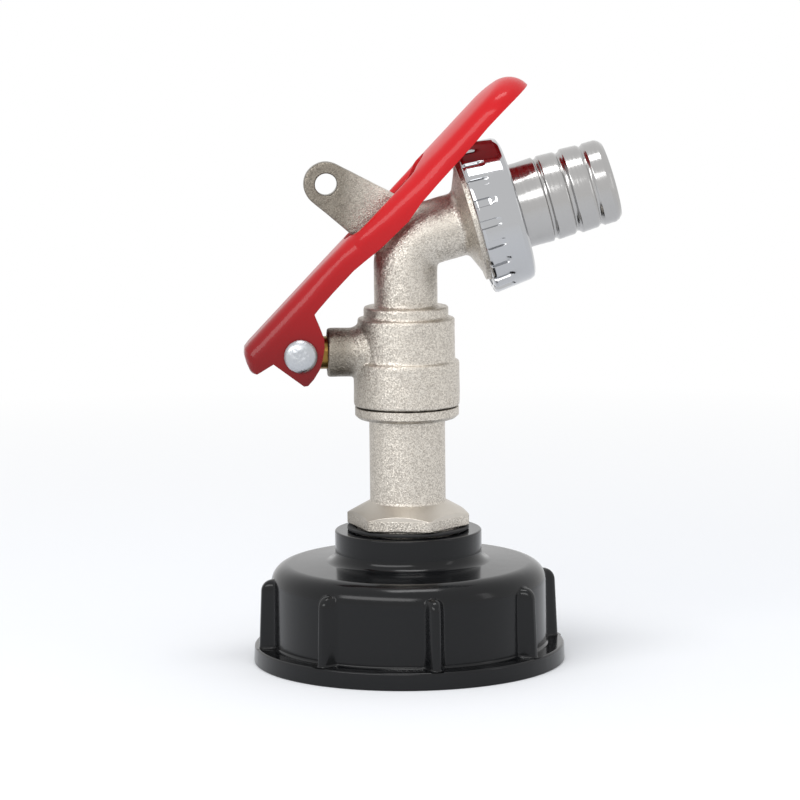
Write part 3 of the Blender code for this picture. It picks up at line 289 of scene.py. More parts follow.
# Moulded polypropylene: black and slightly waxy. The polished mould leaves a faint ripple every few
# millimetres and a fine haze, which soften the highlights along the ribs.
pp, tree, shader = finish("moulded_black_polypropylene", "#0b0c0e", 0.0, 0.16, IOR=1.49,
                          Specular_IOR_Level=0.3)
ripple = add(tree, "TexNoise", [("Vector", place_of(tree))], scale=per_mm(5.0), detail=3.0)
haze = add(tree, "TexNoise", [("Vector", place_of(tree))], scale=per_mm(0.9), detail=4.0)
spread = add(tree, "MapRange", [("Value", haze.outputs["Fac"])], in3=0.11, in4=0.21)
tree.links.new(spread.outputs["Result"], shader.inputs["Roughness"])
grain = add(tree, "Bump", [("Height", haze.outputs["Fac"])], strength=0.05, distance=0.04 * MM)
wave = add(tree, "Bump", [("Height", ripple.outputs["Fac"]), ("Normal", grain.outputs["Normal"])],
           strength=0.25, distance=0.08 * MM)
tree.links.new(wave.outputs["Normal"], shader.inputs["Normal"])
dress(evenly_shaded(cap), pp)
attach(cap, "valve")
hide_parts("ibc_cap")

# Flat rubber ring in the cap's ceiling: die-cut black rubber that the tank outlet is screwed against.
# It is dull, with a faint dust-grey bloom.
ring_line = rounded(((22.0, 18.4, 0.25), (29.9, 18.4, 0.25), (29.9, 21.0, 0.25), (22.0, 21.0, 0.25)), 30.0)
gasket = made_of("cap_ring", turned(ring_line, even(120)))
rubber, tree, shader = finish("die_cut_black_rubber", "#141415", 0.0, 0.68)
bloom = add(tree, "TexNoise", [("Vector", place_of(tree))], scale=per_mm(2.0), detail=5.0)
tint = mixed(tree, bloom.outputs["Fac"], "#101011", "#262627")
tree.links.new(tint, shader.inputs["Base Color"])
raised(tree, shader, bloom.outputs["Fac"], 0.3, 0.05)
dress(evenly_shaded(gasket), rubber)
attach(gasket, "valve")
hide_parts("cap_gasket")

# Thin fibre washer between the cap's neck and the hexagon, seen as a dark line.
# It is pressed black fibre, matt, and is held by the screwed-in inlet.
washer_line = rounded(((13.5, 33.3, 0.1), (15.2, 33.3, 0.1), (15.2, 34.0, 0.1), (13.5, 34.0, 0.1)), 45.0)
washer = made_of("neck_washer", turned(washer_line, even(120)))
fibre, tree, shader = finish("pressed_black_fibre", "#17181a", 0.0, 0.6)
felt = add(tree, "TexNoise", [("Vector", place_of(tree))], scale=per_mm(0.6), detail=4.0)
raised(tree, shader, felt.outputs["Fac"], 0.4, 0.05)
dress(washer, fibre)
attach(washer, "valve")
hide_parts("inlet_washer")

# Inlet: a brass casting with a spanner hexagon, screwed into the cap below and into the body above.
# The pipe keeps its blasted skin; the cone over the hexagon and the threads are turned. It is nickel plated.
HEX_HALF_FLATS = 13.5
HEX_FIRST_CORNER = math.radians(16.6 - 90.0)
HEX_BOTTOM = 34.3
CONE_TOP = 39.7
CONE_RADIUS = 10.6
CONE_SLOPE = 0.561
PIPE_RADIUS = 9.45
THREAD_STEP = 0.24
FACET_LEAN = 0.32
GLINT = "#e4ded4"
# Painted shade: the colour multiplied in on the stem's (-X) side, where less light falls.
LEFT_SIDE_SHADE = "#a8a5a0"
# Each thread: the radius of its plain cylinder, its depth and pitch, and where it starts and ends.
INLET_THREAD = (13.2, 1.05, 1.81, 22.9, 32.1)
CLOSING_THREAD = (10.8, 0.45, 1.0, 66.1, 68.5)


def hexagon_reach(angle):
    """The hexagon's radius at an angle, with its upright corners rounded off a little."""
    away = (angle - HEX_FIRST_CORNER) % math.radians(60.0) - math.radians(30.0)
    round_off = smoothly((abs(away) - math.radians(28.0)) / math.radians(2.0))
    return HEX_HALF_FLATS / math.cos(away) - 0.16 * round_off


def inlet_line(angle):
    """The inlet's outline at an angle: from the bore's top down over flange, pipe and hexagon."""
    reach = hexagon_reach(angle)
    edge = CONE_TOP - (reach - CONE_RADIUS) * CONE_SLOPE
    crook = CONE_TOP + (CONE_RADIUS - PIPE_RADIUS) * CONE_SLOPE
    line = rounded((
        (6.5, 69.3, 0.25), (10.2, 69.3, 0.0), (10.8, 68.6, 0.0), (10.8, 65.9, 0.0), (10.3, 65.4, 0.0),
        (10.3, 64.05, 0.1), (12.95, 64.05, 0.2), (12.95, 62.0, 0.3), (12.05, 61.2, 0.3),
        (PIPE_RADIUS, 61.2, 0.8), (PIPE_RADIUS, crook, 0.8), (reach, edge, 0.18), (reach, HEX_BOTTOM, 0.3),
        (12.7, HEX_BOTTOM, 0.1), (12.7, 33.0, 0.0), (13.2, 32.5, 0.0), (13.2, 22.7, 0.0), (12.4, 22.1, 0.0),
        (9.8, 22.1, 0.3), (9.8, HEX_BOTTOM, 0.2), (6.5, 38.8, 0.4)), 15.0)
    line = divided(line, THREAD_STEP, CLOSING_THREAD[3] - 0.3, CLOSING_THREAD[4] + 0.2)
    return divided(line, THREAD_STEP, INLET_THREAD[3] - 0.3, INLET_THREAD[4] + 0.5)


def threaded(radius, height, angle, thread):
    """Cuts a male thread's groove into its cylinder, running out at both ends."""
    major, depth, pitch, start, end = thread
    if abs(radius - major) > 0.01 or not start < height < end:
        return radius
    groove = smoothly((abs(helix(height, angle, pitch) - 0.5) - 0.1) / 0.3)
    ends = smoothly((height - start) / pitch) * smoothly((end - height) / pitch)
    return radius - depth * groove * ends


def inlet_shape(radius, height, angle):
    """The inlet's two male threads: into the cap below and into the body above."""
    return threaded(threaded(radius, height, angle, INLET_THREAD), height, angle, CLOSING_THREAD)


inlet_angles = []
for side in range(6):
    corner = HEX_FIRST_CORNER + side * math.tau / 6
    inlet_angles += [corner + math.radians(away) for away in (-2.0, -1.3, -0.6, 0.0, 0.6, 1.3, 2.0)]
    inlet_angles += [corner + math.radians(2.0 + 56.0 * step / 17) for step in range(1, 17)]
inlet = made_of("inlet", turned(inlet_line, inlet_angles, inlet_shape))


def blasted_nickel(name, colour, roughness, grit, depth, turned_from=None, turned_to=None):
    """Nickel plate over blasted brass. Between two heights, where given, the skin is turned smooth."""
    material, tree, shader = finish(name, colour, 1.0, roughness)
    spot = place_of(tree)
    facets = add(tree, "TexVoronoi", [("Vector", spot)], scale=per_mm(grit))
    crumbs = add(tree, "TexNoise", [("Vector", spot)], scale=per_mm(grit * 0.8), detail=3.0, roughness=0.65)
    skin = add(tree, "TexNoise", [("Vector", spot)], scale=per_mm(grit * 14), detail=3.0)
    height = add(tree, "Math", [("Value", facets.outputs["Distance"])], operation="ADD")
    tree.links.new(crumbs.outputs["Fac"], height.inputs[1])
    cast = add(tree, "Math", operation="MULTIPLY", in0=1.0, in1=1.0)
    if turned_from is not None:
        rise = add(tree, "SeparateXYZ", [("Vector", spot)])
        below = add(tree, "MapRange", [("Value", rise.outputs["Z"])],
                    in1=(turned_from - 0.1) * MM, in2=(turned_from + 0.1) * MM)
        above = add(tree, "MapRange", [("Value", rise.outputs["Z"])],
                    in1=(turned_to - 0.1) * MM, in2=(turned_to + 0.1) * MM, in3=1.0, in4=0.0)
        turned_band = add(tree, "Math", [("Value", below.outputs["Result"])], operation="MULTIPLY")
        tree.links.new(above.outputs["Result"], turned_band.inputs[1])
        rest = add(tree, "MapRange", [("Value", turned_band.outputs["Value"])], in3=1.0, in4=0.0)
        tree.links.new(rest.outputs["Result"], cast.inputs[0])
    soft = add(tree, "MapRange", [("Value", skin.outputs["Fac"])],
               in1=0.3, in2=0.7, in3=roughness - 0.05, in4=roughness + 0.05)
    tree.links.new(soft.outputs["Result"], shader.inputs["Roughness"])
    relief = add(tree, "Math", [("Value", height.outputs["Value"])], operation="MULTIPLY")
    tree.links.new(cast.outputs["Value"], relief.inputs[1])
    grain = add(tree, "Bump", [("Height", relief.outputs["Value"])], strength=1.0, distance=depth * MM)
    lean = add(tree, "VectorMath", [("Vector", facets.outputs["Color"])], operation="SUBTRACT",
               in1=(0.5, 0.5, 0.5))
    some = add(tree, "Math", [("Value", cast.outputs["Value"])], operation="MULTIPLY", in1=FACET_LEAN)
    leaning = add(tree, "VectorMath", [("Vector", lean.outputs["Vector"])], operation="SCALE")
    tree.links.new(some.outputs["Value"], leaning.inputs["Scale"])
    tilted = add(tree, "VectorMath", [("Vector", grain.outputs["Normal"])], operation="ADD")
    tree.links.new(leaning.outputs["Vector"], tilted.inputs[1])
    facing = add(tree, "VectorMath", [("Vector", tilted.outputs["Vector"])], operation="NORMALIZE")
    tree.links.new(facing.outputs["Vector"], shader.inputs["Normal"])
    chance = add(tree, "SeparateXYZ", [("Vector", facets.outputs["Color"])])
    even_out = add(tree, "MapRange", [("Value", cast.outputs["Value"])], in3=0.5, in4=0.0)
    spread = add(tree, "MapRange", [("Value", chance.outputs["X"])])
    tree.links.new(even_out.outputs["Result"], spread.inputs[3])
    level = add(tree, "MapRange", [("Value", cast.outputs["Value"])], in3=0.5, in4=1.0)
    tree.links.new(level.outputs["Result"], spread.inputs[4])
    tint = mixed(tree, spread.outputs["Result"], colour, GLINT)
    # Painted shade: the colour darkens from X -6 mm to X -16 mm, toward the stem's side.
    sides = add(tree, "SeparateXYZ", [("Vector", spot)])
    back = add(tree, "MapRange", [("Value", sides.outputs["X"])], in1=-0.016, in2=-0.006, in3=1.0, in4=0.0)
    left_shaded = mixed(tree, back.outputs["Result"], tint, LEFT_SIDE_SHADE, blend_type="MULTIPLY")
    tree.links.new(left_shaded, shader.inputs["Base Color"])
    return material


# Blasted nickel plate: the shot leaves facets of about a quarter of a millimetre, each leaning its own
# way, so they glint one by one. Toward the stem's side (-X) the colour is darkened, as painted shade.
inlet_skin = blasted_nickel("nickel_plated_brass_pipe", "#a8a198", 0.42, 0.24, 0.03, 36.9, 40.2)
dress(evenly_shaded(inlet), inlet_skin)
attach(inlet, "valve")
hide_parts("inlet_tailpiece")

# Body: one brass casting with its neck, bend, outlet, stem boss and padlock lug, blasted and plated.
# Its corners are soft from the sand mould; the outlet thread, the bores and the lug's hole are machined.
SPOUT_TILT = math.radians(15.5)
SPOUT_HEIGHT = 105.63
BALL_HEIGHT = 77.84
SPOUT = Matrix.Translation((0.0, 0.0, SPOUT_HEIGHT)) @ Matrix.Rotation(math.pi / 2 - SPOUT_TILT, 4, "Y")
STEM = Matrix.Translation((0.0, 0.0, BALL_HEIGHT)) @ Matrix.Rotation(-math.pi / 2, 4, "Y")
NECK_RADIUS = 7.9
BEND_RADIUS = 8.6
FLOW_RADIUS = 6.0
BODY_GRAIN = 0.34
OUTLET_THREAD = (16.6, 1.25, 2.309, 18.2, 22.7)
LUG_HOLE = (-19.54, 119.73)
LUG_END_RADIUS = 5.5


def moved(form, place):
    """The same form, carried from its own frame into the valve's."""
    form.transform(place)
    return form


def round_bar(path, radius, sides=72):
    """A closed round bar along a path that lies in the XZ plane."""
    form = bmesh.new()
    rings = []
    for index, point in enumerate(path):
        ahead = path[min(index + 1, len(path) - 1)] - path[max(index - 1, 0)]
        up = ahead.normalized().cross(Vector((0.0, 1.0, 0.0)))
        ring = []
        for side in range(sides):
            angle = math.tau * side / sides
            away = up * math.cos(angle) + Vector((0.0, 1.0, 0.0)) * math.sin(angle)
            ring.append(form.verts.new(point + away * radius))
        rings.append(ring)
    for near, far in zip(rings, rings[1:]):
        for side in range(sides):
            after = (side + 1) % sides
            form.faces.new((near[side], near[after], far[after], far[side]))
    form.faces.new(rings[0])
    form.faces.new(rings[-1])
    bmesh.ops.recalc_face_normals(form, faces=form.faces)
    return form


def flow_path(start, end):
    """The middle line of the neck and spout, from a height on the axis to a distance along the spout."""
    bend = math.pi / 2 - SPOUT_TILT
    base = SPOUT_HEIGHT - BEND_RADIUS * math.tan(bend / 2)
    path = [Vector((0.0, 0.0, start))]
    for step in range(25):
        angle = bend * step / 24
        out, rise = BEND_RADIUS * (1.0 - math.cos(angle)), BEND_RADIUS * math.sin(angle)
        path.append(Vector((out, 0.0, base + rise)))
    path.append(SPOUT @ Vector((0.0, 0.0, end)))
    return path


def slab(outline, half):
    """A flat plate, upright in the XZ plane, between Y -half and +half."""
    form = bmesh.new()
    near = [form.verts.new((x, -half, z)) for x, z in outline]
    far = [form.verts.new((x, half, z)) for x, z in outline]
    form.faces.new(near)
    form.faces.new(far)
    for index in range(len(outline)):
        after = (index + 1) % len(outline)
        form.faces.new((near[index], near[after], far[after], far[index]))
    bmesh.ops.recalc_face_normals(form, faces=form.faces)
    return form


def touching(centre, point, radius, side):
    """The angle at which a line from a point touches a circle."""
    reach = point - centre
    return math.atan2(reach.y, reach.x) + side * math.acos(radius / reach.length)


def as_object(form):
    """A passing object for modifiers to work on."""
    mesh = bpy.data.meshes.new("rough")
    form.to_mesh(mesh)
    form.free()
    rough = bpy.data.objects.new("rough", mesh)
    bpy.context.scene.collection.objects.link(rough)
    return rough


def taken_up(rough, *others):
    """The object with its modifiers applied, as a bmesh. The objects that made it are removed."""
    form = bmesh.new()
    form.from_object(rough, bpy.context.evaluated_depsgraph_get())
    for item in (rough, *others):
        bpy.data.objects.remove(item)
    return form


def cast_in_one(forms, grain, passes):
    """Fuses overlapping solids into one skin and rounds its corners, as a sand mould does."""
    whole = bmesh.new()
    scratch = bpy.data.meshes.new("scratch")
    for form in forms:
        form.to_mesh(scratch)
        form.free()
        whole.from_mesh(scratch)
    rough = as_object(whole)
    skin = rough.modifiers.new("Skin", "REMESH")
    skin.mode = "VOXEL"
    skin.voxel_size = grain
    soft = rough.modifiers.new("Soft", "SMOOTH")
    soft.factor = 0.5
    soft.iterations = passes
    return taken_up(rough)


def machined(form, tool, operation):
    """Cuts a tool's shape out of a solid, or joins the two."""
    work = as_object(form)
    other = as_object(tool)
    step = work.modifiers.new("Cut", "BOOLEAN")
    step.operation = operation
    step.solver = "MANIFOLD"
    step.object = other
    return taken_up(work, other)


barrel = turned(rounded((
    (0.0, 64.35, 0.0), (13.2, 64.35, 0.2), (13.2, 75.5, 0.35), (12.1, 75.5, 0.35), (12.1, 86.3, 0.3),
    (10.55, 86.3, 0.3), (10.55, 89.1, 0.35), (0.0, 89.1, 0.0)), 30.0), even(96))
welded(barrel)
flare = turned(rounded((
    (0.0, 13.0, 0.0), (NECK_RADIUS - 0.3, 13.0, 0.0), (NECK_RADIUS + 0.6, 14.4, 0.8), (15.5, 17.3, 0.4),
    (15.5, 18.4, 0.2), (0.0, 18.4, 0.0)), 15.0), even(96))
welded(flare)
boss = turned(rounded((
    (0.0, 2.0, 0.0), (7.4, 2.0, 0.0), (7.4, 10.9, 1.2), (6.1, 13.6, 1.4), (6.1, 19.75, 0.45),
    (0.0, 19.75, 0.0)), 15.0), even(96))
welded(boss)
lug_end = Vector(LUG_HOLE)
upper_root, inner_root, lower_root = Vector((-1.0, 116.2)), Vector((1.5, 109.0)), Vector((-6.6, 101.4))
first = touching(lug_end, upper_root, LUG_END_RADIUS, 1.0)
last = touching(lug_end, lower_root, LUG_END_RADIUS, -1.0)
last += math.tau if last < first else 0.0
lug_outline = [upper_root]
for step in range(49):
    angle = first + (last - first) * step / 48
    lug_outline.append(lug_end + LUG_END_RADIUS * Vector((math.cos(angle), math.sin(angle))))
lug_outline += [lower_root, inner_root]
casting = cast_in_one((
    barrel, round_bar(flow_path(86.0, 17.0), NECK_RADIUS), moved(flare, SPOUT), moved(boss, STEM),
    slab(lug_outline, 2.2)), BODY_GRAIN, 7)
for point in casting.verts:
    point.co += point.normal * 0.07 * noise.noise(point.co / 3.2)
outlet_line = divided(rounded((
    (3.0, 16.6, 0.0), (15.2, 16.6, 0.0), (15.35, 18.2, 0.0), (16.6, 18.8, 0.0), (16.6, 22.3, 0.0),
    (16.1, 22.9, 0.1), (3.0, 22.9, 0.0))), 0.25, 17.0, 22.8)
outlet = turned(outlet_line, even(144), lambda radius, height, angle: threaded(
    radius, height, angle, OUTLET_THREAD))
bmesh.ops.recalc_face_normals(outlet, faces=outlet.faces)
casting = machined(casting, moved(outlet, SPOUT), "UNION")
bores = turned(rounded((
    (0.0, 88.6, 0.0), (6.3, 88.6, 0.0), (6.3, 86.4, 0.0), (9.3, 86.4, 0.0), (9.3, 69.6, 0.0),
    (11.1, 69.6, 0.0), (11.1, 65.75, 0.0), (12.2, 65.75, 0.0), (12.2, 60.0, 0.0),
    (0.0, 60.0, 0.0)), 30.0), even(96))
stem_way = turned(rounded((
    (0.0, 24.0, 0.0), (4.7, 24.0, 0.0), (4.7, 19.6, 0.0), (4.4, 19.3, 0.0), (4.4, 11.7, 0.0),
    (5.4, 11.7, 0.0), (5.4, 0.0, 0.0), (0.0, 0.0, 0.0)), 30.0), even(72))
lug_drill = turned(((0.0, -4.0), (3.8, -4.0), (3.8, -3.0), (2.74, -1.94), (2.74, 1.94), (3.8, 3.0),
                    (3.8, 4.0), (0.0, 4.0)), even(64))
for tool in (bores, stem_way, lug_drill):
    welded(tool)
through_lug = Matrix.Translation((LUG_HOLE[0], 0.0, LUG_HOLE[1])) @ Matrix.Rotation(math.pi / 2, 4, "X")
for tool in (bores, moved(stem_way, STEM), moved(lug_drill, through_lug),
             round_bar(flow_path(88.0, 24.0), FLOW_RADIUS)):
    casting = machined(casting, tool, "DIFFERENCE")
body = made_of("cast_body", casting, sharp=45.0)
cast_skin = blasted_nickel("nickel_plated_brass_casting", "#a8a198", 0.42, 0.25, 0.035)
dress(body, cast_skin)
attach(body, "valve")
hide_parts("valve_body")

# Stem: turned brass with a tang in the ball, a shoulder against the thrust washer, two ring grooves
# and a cross hole for the rivet. A short bright length shows between the boss and the lever.
PIVOT_X = -26.57
PIVOT = Matrix.Translation((PIVOT_X, 0.0, BALL_HEIGHT)) @ Matrix.Rotation(math.pi / 2, 4, "X")
stem_line = rounded((
    (0.0, 9.4, 0.0), (5.1, 9.4, 0.1), (5.1, 10.5, 0.1), (4.1, 10.5, 0.1), (4.1, 13.3, 0.1),
    (2.5, 13.3, 0.1), (2.5, 15.1, 0.1), (4.1, 15.1, 0.1), (4.1, 16.3, 0.1), (2.5, 16.3, 0.1),
    (2.5, 18.1, 0.1), (4.1, 18.1, 0.1), (4.1, 29.8, 0.1), (3.5, 30.4, 0.1), (0.0, 30.4, 0.0)), 30.0)
stem_form = turned(stem_line, even(96))
welded(stem_form)
tang = bmesh.new()
bmesh.ops.create_cube(tang, size=1.0, matrix=Matrix.Translation((0.0, 0.0, 8.625)) @ Matrix.Diagonal(
    (8.0, 2.8, 2.65, 1.0)))
stem_form = machined(moved(stem_form, STEM), moved(tang, STEM), "UNION")
cross_hole = turned(((0.0, -6.0), (2.3, -6.0), (2.3, 6.0), (0.0, 6.0)), even(48))
welded(cross_hole)
stem_form = machined(stem_form, moved(cross_hole, PIVOT), "DIFFERENCE")
stem = made_of("stem_bar", stem_form)


def lathe_marks(tree, shader, axis, spacing, depth):
    """Fine rings left by a turning tool, evenly spaced along one axis of a frame."""
    along = add(tree, "Mapping", [("Vector", place_of(tree))], vector_type="TEXTURE")
    along.inputs["Rotation"].default_value = axis.to_euler()
    along.inputs["Location"].default_value = axis.to_translation() * MM
    squeeze = add(tree, "Mapping", [("Vector", along.outputs["Vector"])], vector_type="POINT")
    squeeze.inputs["Scale"].default_value = (0.06, 0.06, 1.0)
    rings = add(tree, "TexNoise", [("Vector", squeeze.outputs["Vector"])], scale=per_mm(spacing), detail=2.0)
    raised(tree, shader, rings.outputs["Fac"], 1.0, depth)
    return rings


# Turned brass: warm yellow, with tool marks about 0.15 mm apart, drawn at 0.4 mm so that they show.
brass, tree, shader = finish("turned_brass", "#8a6c38", 1.0, 0.3)
lathe_marks(tree, shader, STEM, 0.4, 0.01)
dress(evenly_shaded(stem), brass)
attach(stem, "spindle")
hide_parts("stem")

# Inside the body: a chromed ball between two PTFE seats, a PTFE thrust washer and rubber rings.
# They keep their CAD shape, since the closed body hides them, and get their own finishes.
ptfe, tree, shader = finish("turned_ptfe", "#e9e9e4", 0.0, 0.5)
chalk = add(tree, "TexNoise", [("Vector", place_of(tree))], scale=per_mm(0.8), detail=3.0)
raised(tree, shader, chalk.outputs["Fac"], 0.2, 0.03)
ball_chrome, tree, shader = finish("chrome_plated_ball", "#c9cacb", 1.0, 0.08)
buff = add(tree, "TexNoise", [("Vector", place_of(tree))], scale=per_mm(1.5), detail=3.0)
smear = add(tree, "MapRange", [("Value", buff.outputs["Fac"])], in3=0.06, in4=0.12)
tree.links.new(smear.outputs["Result"], shader.inputs["Roughness"])
for node, material in (("seat_inlet", ptfe), ("seat_outlet", ptfe), ("stem_thrust_washer", ptfe),
                       ("ball", ball_chrome), ("body_seal", rubber), ("stem_o_ring_inner", rubber),
                       ("stem_o_ring_outer", rubber)):
    dress(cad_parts[node], material)

# Rivet: zinc-plated steel through the lever's cheeks and the stem. The head was set with a hammer,
# so its middle is beaten flat and dull inside a smoother rim.
HEAD_FACE = 7.1
rivet_line = rounded((
    (0.0, HEAD_FACE + 1.78, 0.0), (1.9, HEAD_FACE + 1.74, 1.5), (3.5, HEAD_FACE + 1.12, 1.6),
    (4.15, HEAD_FACE + 0.3, 0.3), (4.05, HEAD_FACE, 0.1), (2.0, HEAD_FACE, 0.0), (2.0, -HEAD_FACE, 0.0),
    (3.5, -HEAD_FACE, 0.15), (3.55, -HEAD_FACE - 0.5, 0.3), (2.1, -HEAD_FACE - 1.15, 0.4),
    (0.0, -HEAD_FACE - 1.2, 0.0)), 12.0)
rivet_line = divided(rivet_line, 0.25, HEAD_FACE + 0.9, HEAD_FACE + 2.0)
rivet_form = turned(rivet_line, even(96))
bmesh.ops.remove_doubles(rivet_form, verts=rivet_form.verts, dist=WELD)
for point in rivet_form.verts:
    out = math.hypot(point.co.x, point.co.y)
    if point.co.z > HEAD_FACE + 0.9 and out < 3.2:
        beaten = smoothly((3.0 - out) / 1.2)
        point.co.z += beaten * (0.11 * noise.noise(point.co / 0.75) - 0.08)
rivet = made_of("lever_pin", rivet_form, PIVOT)
zinc, tree, shader = finish("zinc_plated_rivet", "#b9bcc0", 1.0, 0.34)
dent = add(tree, "TexNoise", [("Vector", place_of(tree))], scale=per_mm(0.9), detail=4.0, roughness=0.6)
dull = add(tree, "MapRange", [("Value", dent.outputs["Fac"])], in1=0.3, in2=0.7, in3=0.26, in4=0.48)
tree.links.new(dull.outputs["Result"], shader.inputs["Roughness"])
raised(tree, shader, dent.outputs["Fac"], 0.7, 0.12)
dress(evenly_shaded(rivet), zinc)
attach(rivet, "spindle")
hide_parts("lever_rivet")

# Lever: a channel pressed from 1.6 mm steel, with two cheeks for the rivet, a closed round grip and a
# slot for the padlock lug whose edges are pressed in. A thick gloss red coating rounds its edges.
LEVER_TILT = math.radians(46.3)
LEVER = Matrix.Translation((PIVOT_X, 0.0, BALL_HEIGHT)) @ Matrix.Rotation(-LEVER_TILT, 4, "Y")
SHEET = 1.6
CROWN = 11.29
TAIL_REACH = 11.2
TAIL_DOME = 0.1
GRIP_DOME = 2.3
CORNER = 4.4
SLOT_CORNER = 5.6
TIP_CORNER = 6.5
TAIL_ROUND = 1.6
LENGTH = 87.0
TIP_EDGE = 4.2
PIVOT_HALF = 6.8
GRIP_HALF = 12.0
TAPER = (12.0, 56.0)
SLOT = (28.2, 57.0, 4.75)
TIP_CENTRE = LENGTH - GRIP_HALF
TAIL_TOP = ((-TAIL_REACH, 6.61), (-10.42, 8.55), (-9.41, 10.15), (-8.18, 11.11), (-6.5, CROWN))
LOWER_EDGE = (
    (-TAIL_REACH, 5.7), (-10.64, 4.79), (-6.05, 3.53), (-4.95, -5.76), (-4.16, -6.4), (-1.98, -6.34),
    (0.79, -5.76), (3.07, -4.61), (5.54, -2.94), (7.13, -1.28), (7.92, 0.32), (9.21, 3.33), (9.9, 4.48),
    (11.31, 4.6), (16.53, 4.83), (24.36, 4.92), (28.71, 4.46), (33.06, 3.91), (42.63, 3.63), (47.85, 4.51),
    (53.94, 4.78), (66.99, 4.97), (72.21, 5.24), (75.69, 5.24))


def between(points, place):
    """Reads a height off a list of (place, height) points."""
    if place <= points[0][0]:
        return points[0][1]
    for (start, low), (end, high) in zip(points, points[1:]):
        if place <= end:
            return low + (high - low) * (place - start) / (end - start)
    return points[-1][1]


def taper(place):
    """How far the channel has widened: 0 at the pivot, 1 at the grip."""
    return smoothly((place - TAPER[0]) / (TAPER[1] - TAPER[0]))


def lever_half(place):
    """Half the lever's width at a place along it, drawn in round the corners of the tail."""
    short = min(max(TAIL_ROUND - TAIL_REACH - place, 0.0), TAIL_ROUND)
    inset = TAIL_ROUND - math.sqrt(TAIL_ROUND ** 2 - short ** 2)
    return PIVOT_HALF + (GRIP_HALF - PIVOT_HALF) * taper(place) - inset


def slot_half(place):
    """Half the slot's width at a place along the lever, or 0 outside it."""
    start, end, half = SLOT
    if not start < place < end:
        return 0.0
    short = max(start + half - place, place - (end - half), 0.0)
    return math.sqrt(max(half * half - short * short, 0.0))


def corner_at(place):
    """The corner's radius: wider beside the slot, where the whole side is rolled over."""
    window = smoothly((place - 25.0) / 8.0) * smoothly((62.0 - place) / 10.0)
    return CORNER + (SLOT_CORNER - CORNER) * window


def pressed_in(place, out):
    """How far the crown is pressed down beside the slot, where the lug comes through."""
    window = smoothly((place - 29.5) / 5.0) * smoothly((54.5 - place) / 5.0)
    inside = slot_half(place)
    near = max(1.0 - (out - inside) / 2.6, 0.0)
    return 1.5 * window * near * near


def half_section(place, top, edge, corner, half, inner):
    """Half of the channel across: a domed crown from the slot or middle outwards, the corner and the wall."""
    fall = top - edge
    dome = min(TAIL_DOME + (GRIP_DOME - TAIL_DOME) * taper(place), fall / 3)
    corner = min(corner, fall - dome / 3 - 0.2, half - inner - 0.4)
    lean = 0.0
    for step in range(4):
        meet = half - corner + corner * math.sin(lean)
        lean = math.atan(2 * dome * meet / half ** 2)
    points = []
    for step in range(10):
        out = inner + (meet - inner) * step / 10
        points.append((out, top - dome * (out / half) ** 2 - pressed_in(place, out)))
    centre = max(top - dome * (meet / half) ** 2 - corner * math.cos(lean), edge)
    for step in range(13):
        angle = (math.pi / 2 - lean) * (1.0 - step / 12)
        out = half - corner + corner * math.cos(angle)
        points.append((out, centre + corner * math.sin(angle) - pressed_in(place, out)))
    for step in range(1, 6):
        points.append((half, centre + (edge - centre) * step / 5))
    return points


places = [TAIL_TOP[0][0] + 0.35 * step for step in range(62)]
places += [place for place, height in LOWER_EDGE if place < TIP_CENTRE]
places += [place for place, height in TAIL_TOP]
places += [10.5 + 0.5 * step for step in range(int(2 * (TIP_CENTRE - 10.5)) + 1)]
for end, way in ((SLOT[0] + SLOT[2], -1.0), (SLOT[1] - SLOT[2], 1.0)):
    places += [end + way * SLOT[2] * math.cos(math.pi / 2 * step / 10) for step in range(11)]
places = sorted(set(round(place, 3) for place in places + [TIP_CENTRE]))
places = [place for index, place in enumerate(places) if index == 0 or place - places[index - 1] > 0.09]
rows = []
for place in places:
    section = half_section(place, between(TAIL_TOP, place), between(LOWER_EDGE, place), corner_at(place),
                           lever_half(place), slot_half(place))
    rows.append([Vector((place, -out, height)) for out, height in section])
wall_edge = between(LOWER_EDGE, TIP_CENTRE)
for step in range(1, 31):
    share = step / 30
    soft = smoothly(share)
    section = half_section(TIP_CENTRE, CROWN, wall_edge + (TIP_EDGE - wall_edge) * soft,
                           CORNER + (TIP_CORNER - CORNER) * soft, GRIP_HALF, 0.0)
    away = Vector((math.sin(share * math.pi / 2), -math.cos(share * math.pi / 2), 0.0))
    rows.append([Vector((TIP_CENTRE, 0.0, height)) + away * out for out, height in section])
half_skin = bmesh.new()
grid = [[half_skin.verts.new(point) for point in row] for row in rows]
for near, far in zip(grid, grid[1:]):
    for index in range(len(near) - 1):
        half_skin.faces.new((near[index], near[index + 1], far[index + 1], far[index]))
bmesh.ops.remove_doubles(half_skin, verts=half_skin.verts, dist=0.002)
bmesh.ops.dissolve_degenerate(half_skin, edges=half_skin.edges, dist=0.002)
rough = as_object(half_skin)
mirror = rough.modifiers.new("Both sides", "MIRROR")
mirror.use_axis = (False, True, False)
mirror.merge_threshold = 0.002
solid = rough.modifiers.new("Sheet", "SOLIDIFY")
solid.thickness = SHEET
solid.offset = -1.0
coat = rough.modifiers.new("Coating", "BEVEL")
coat.width = 0.42
coat.segments = 4
coat.limit_method = "ANGLE"
coat.angle_limit = math.radians(50.0)
lever_form = moved(taken_up(rough), LEVER)
bmesh.ops.recalc_face_normals(lever_form, faces=lever_form.faces)
pin_way = turned(((0.0, -9.0), (2.3, -9.0), (2.3, 9.0), (0.0, 9.0)), even(48))
welded(pin_way)
lever_form = machined(lever_form, moved(pin_way, PIVOT), "DIFFERENCE")
lever = made_of("lever_channel", lever_form, sharp=60.0)
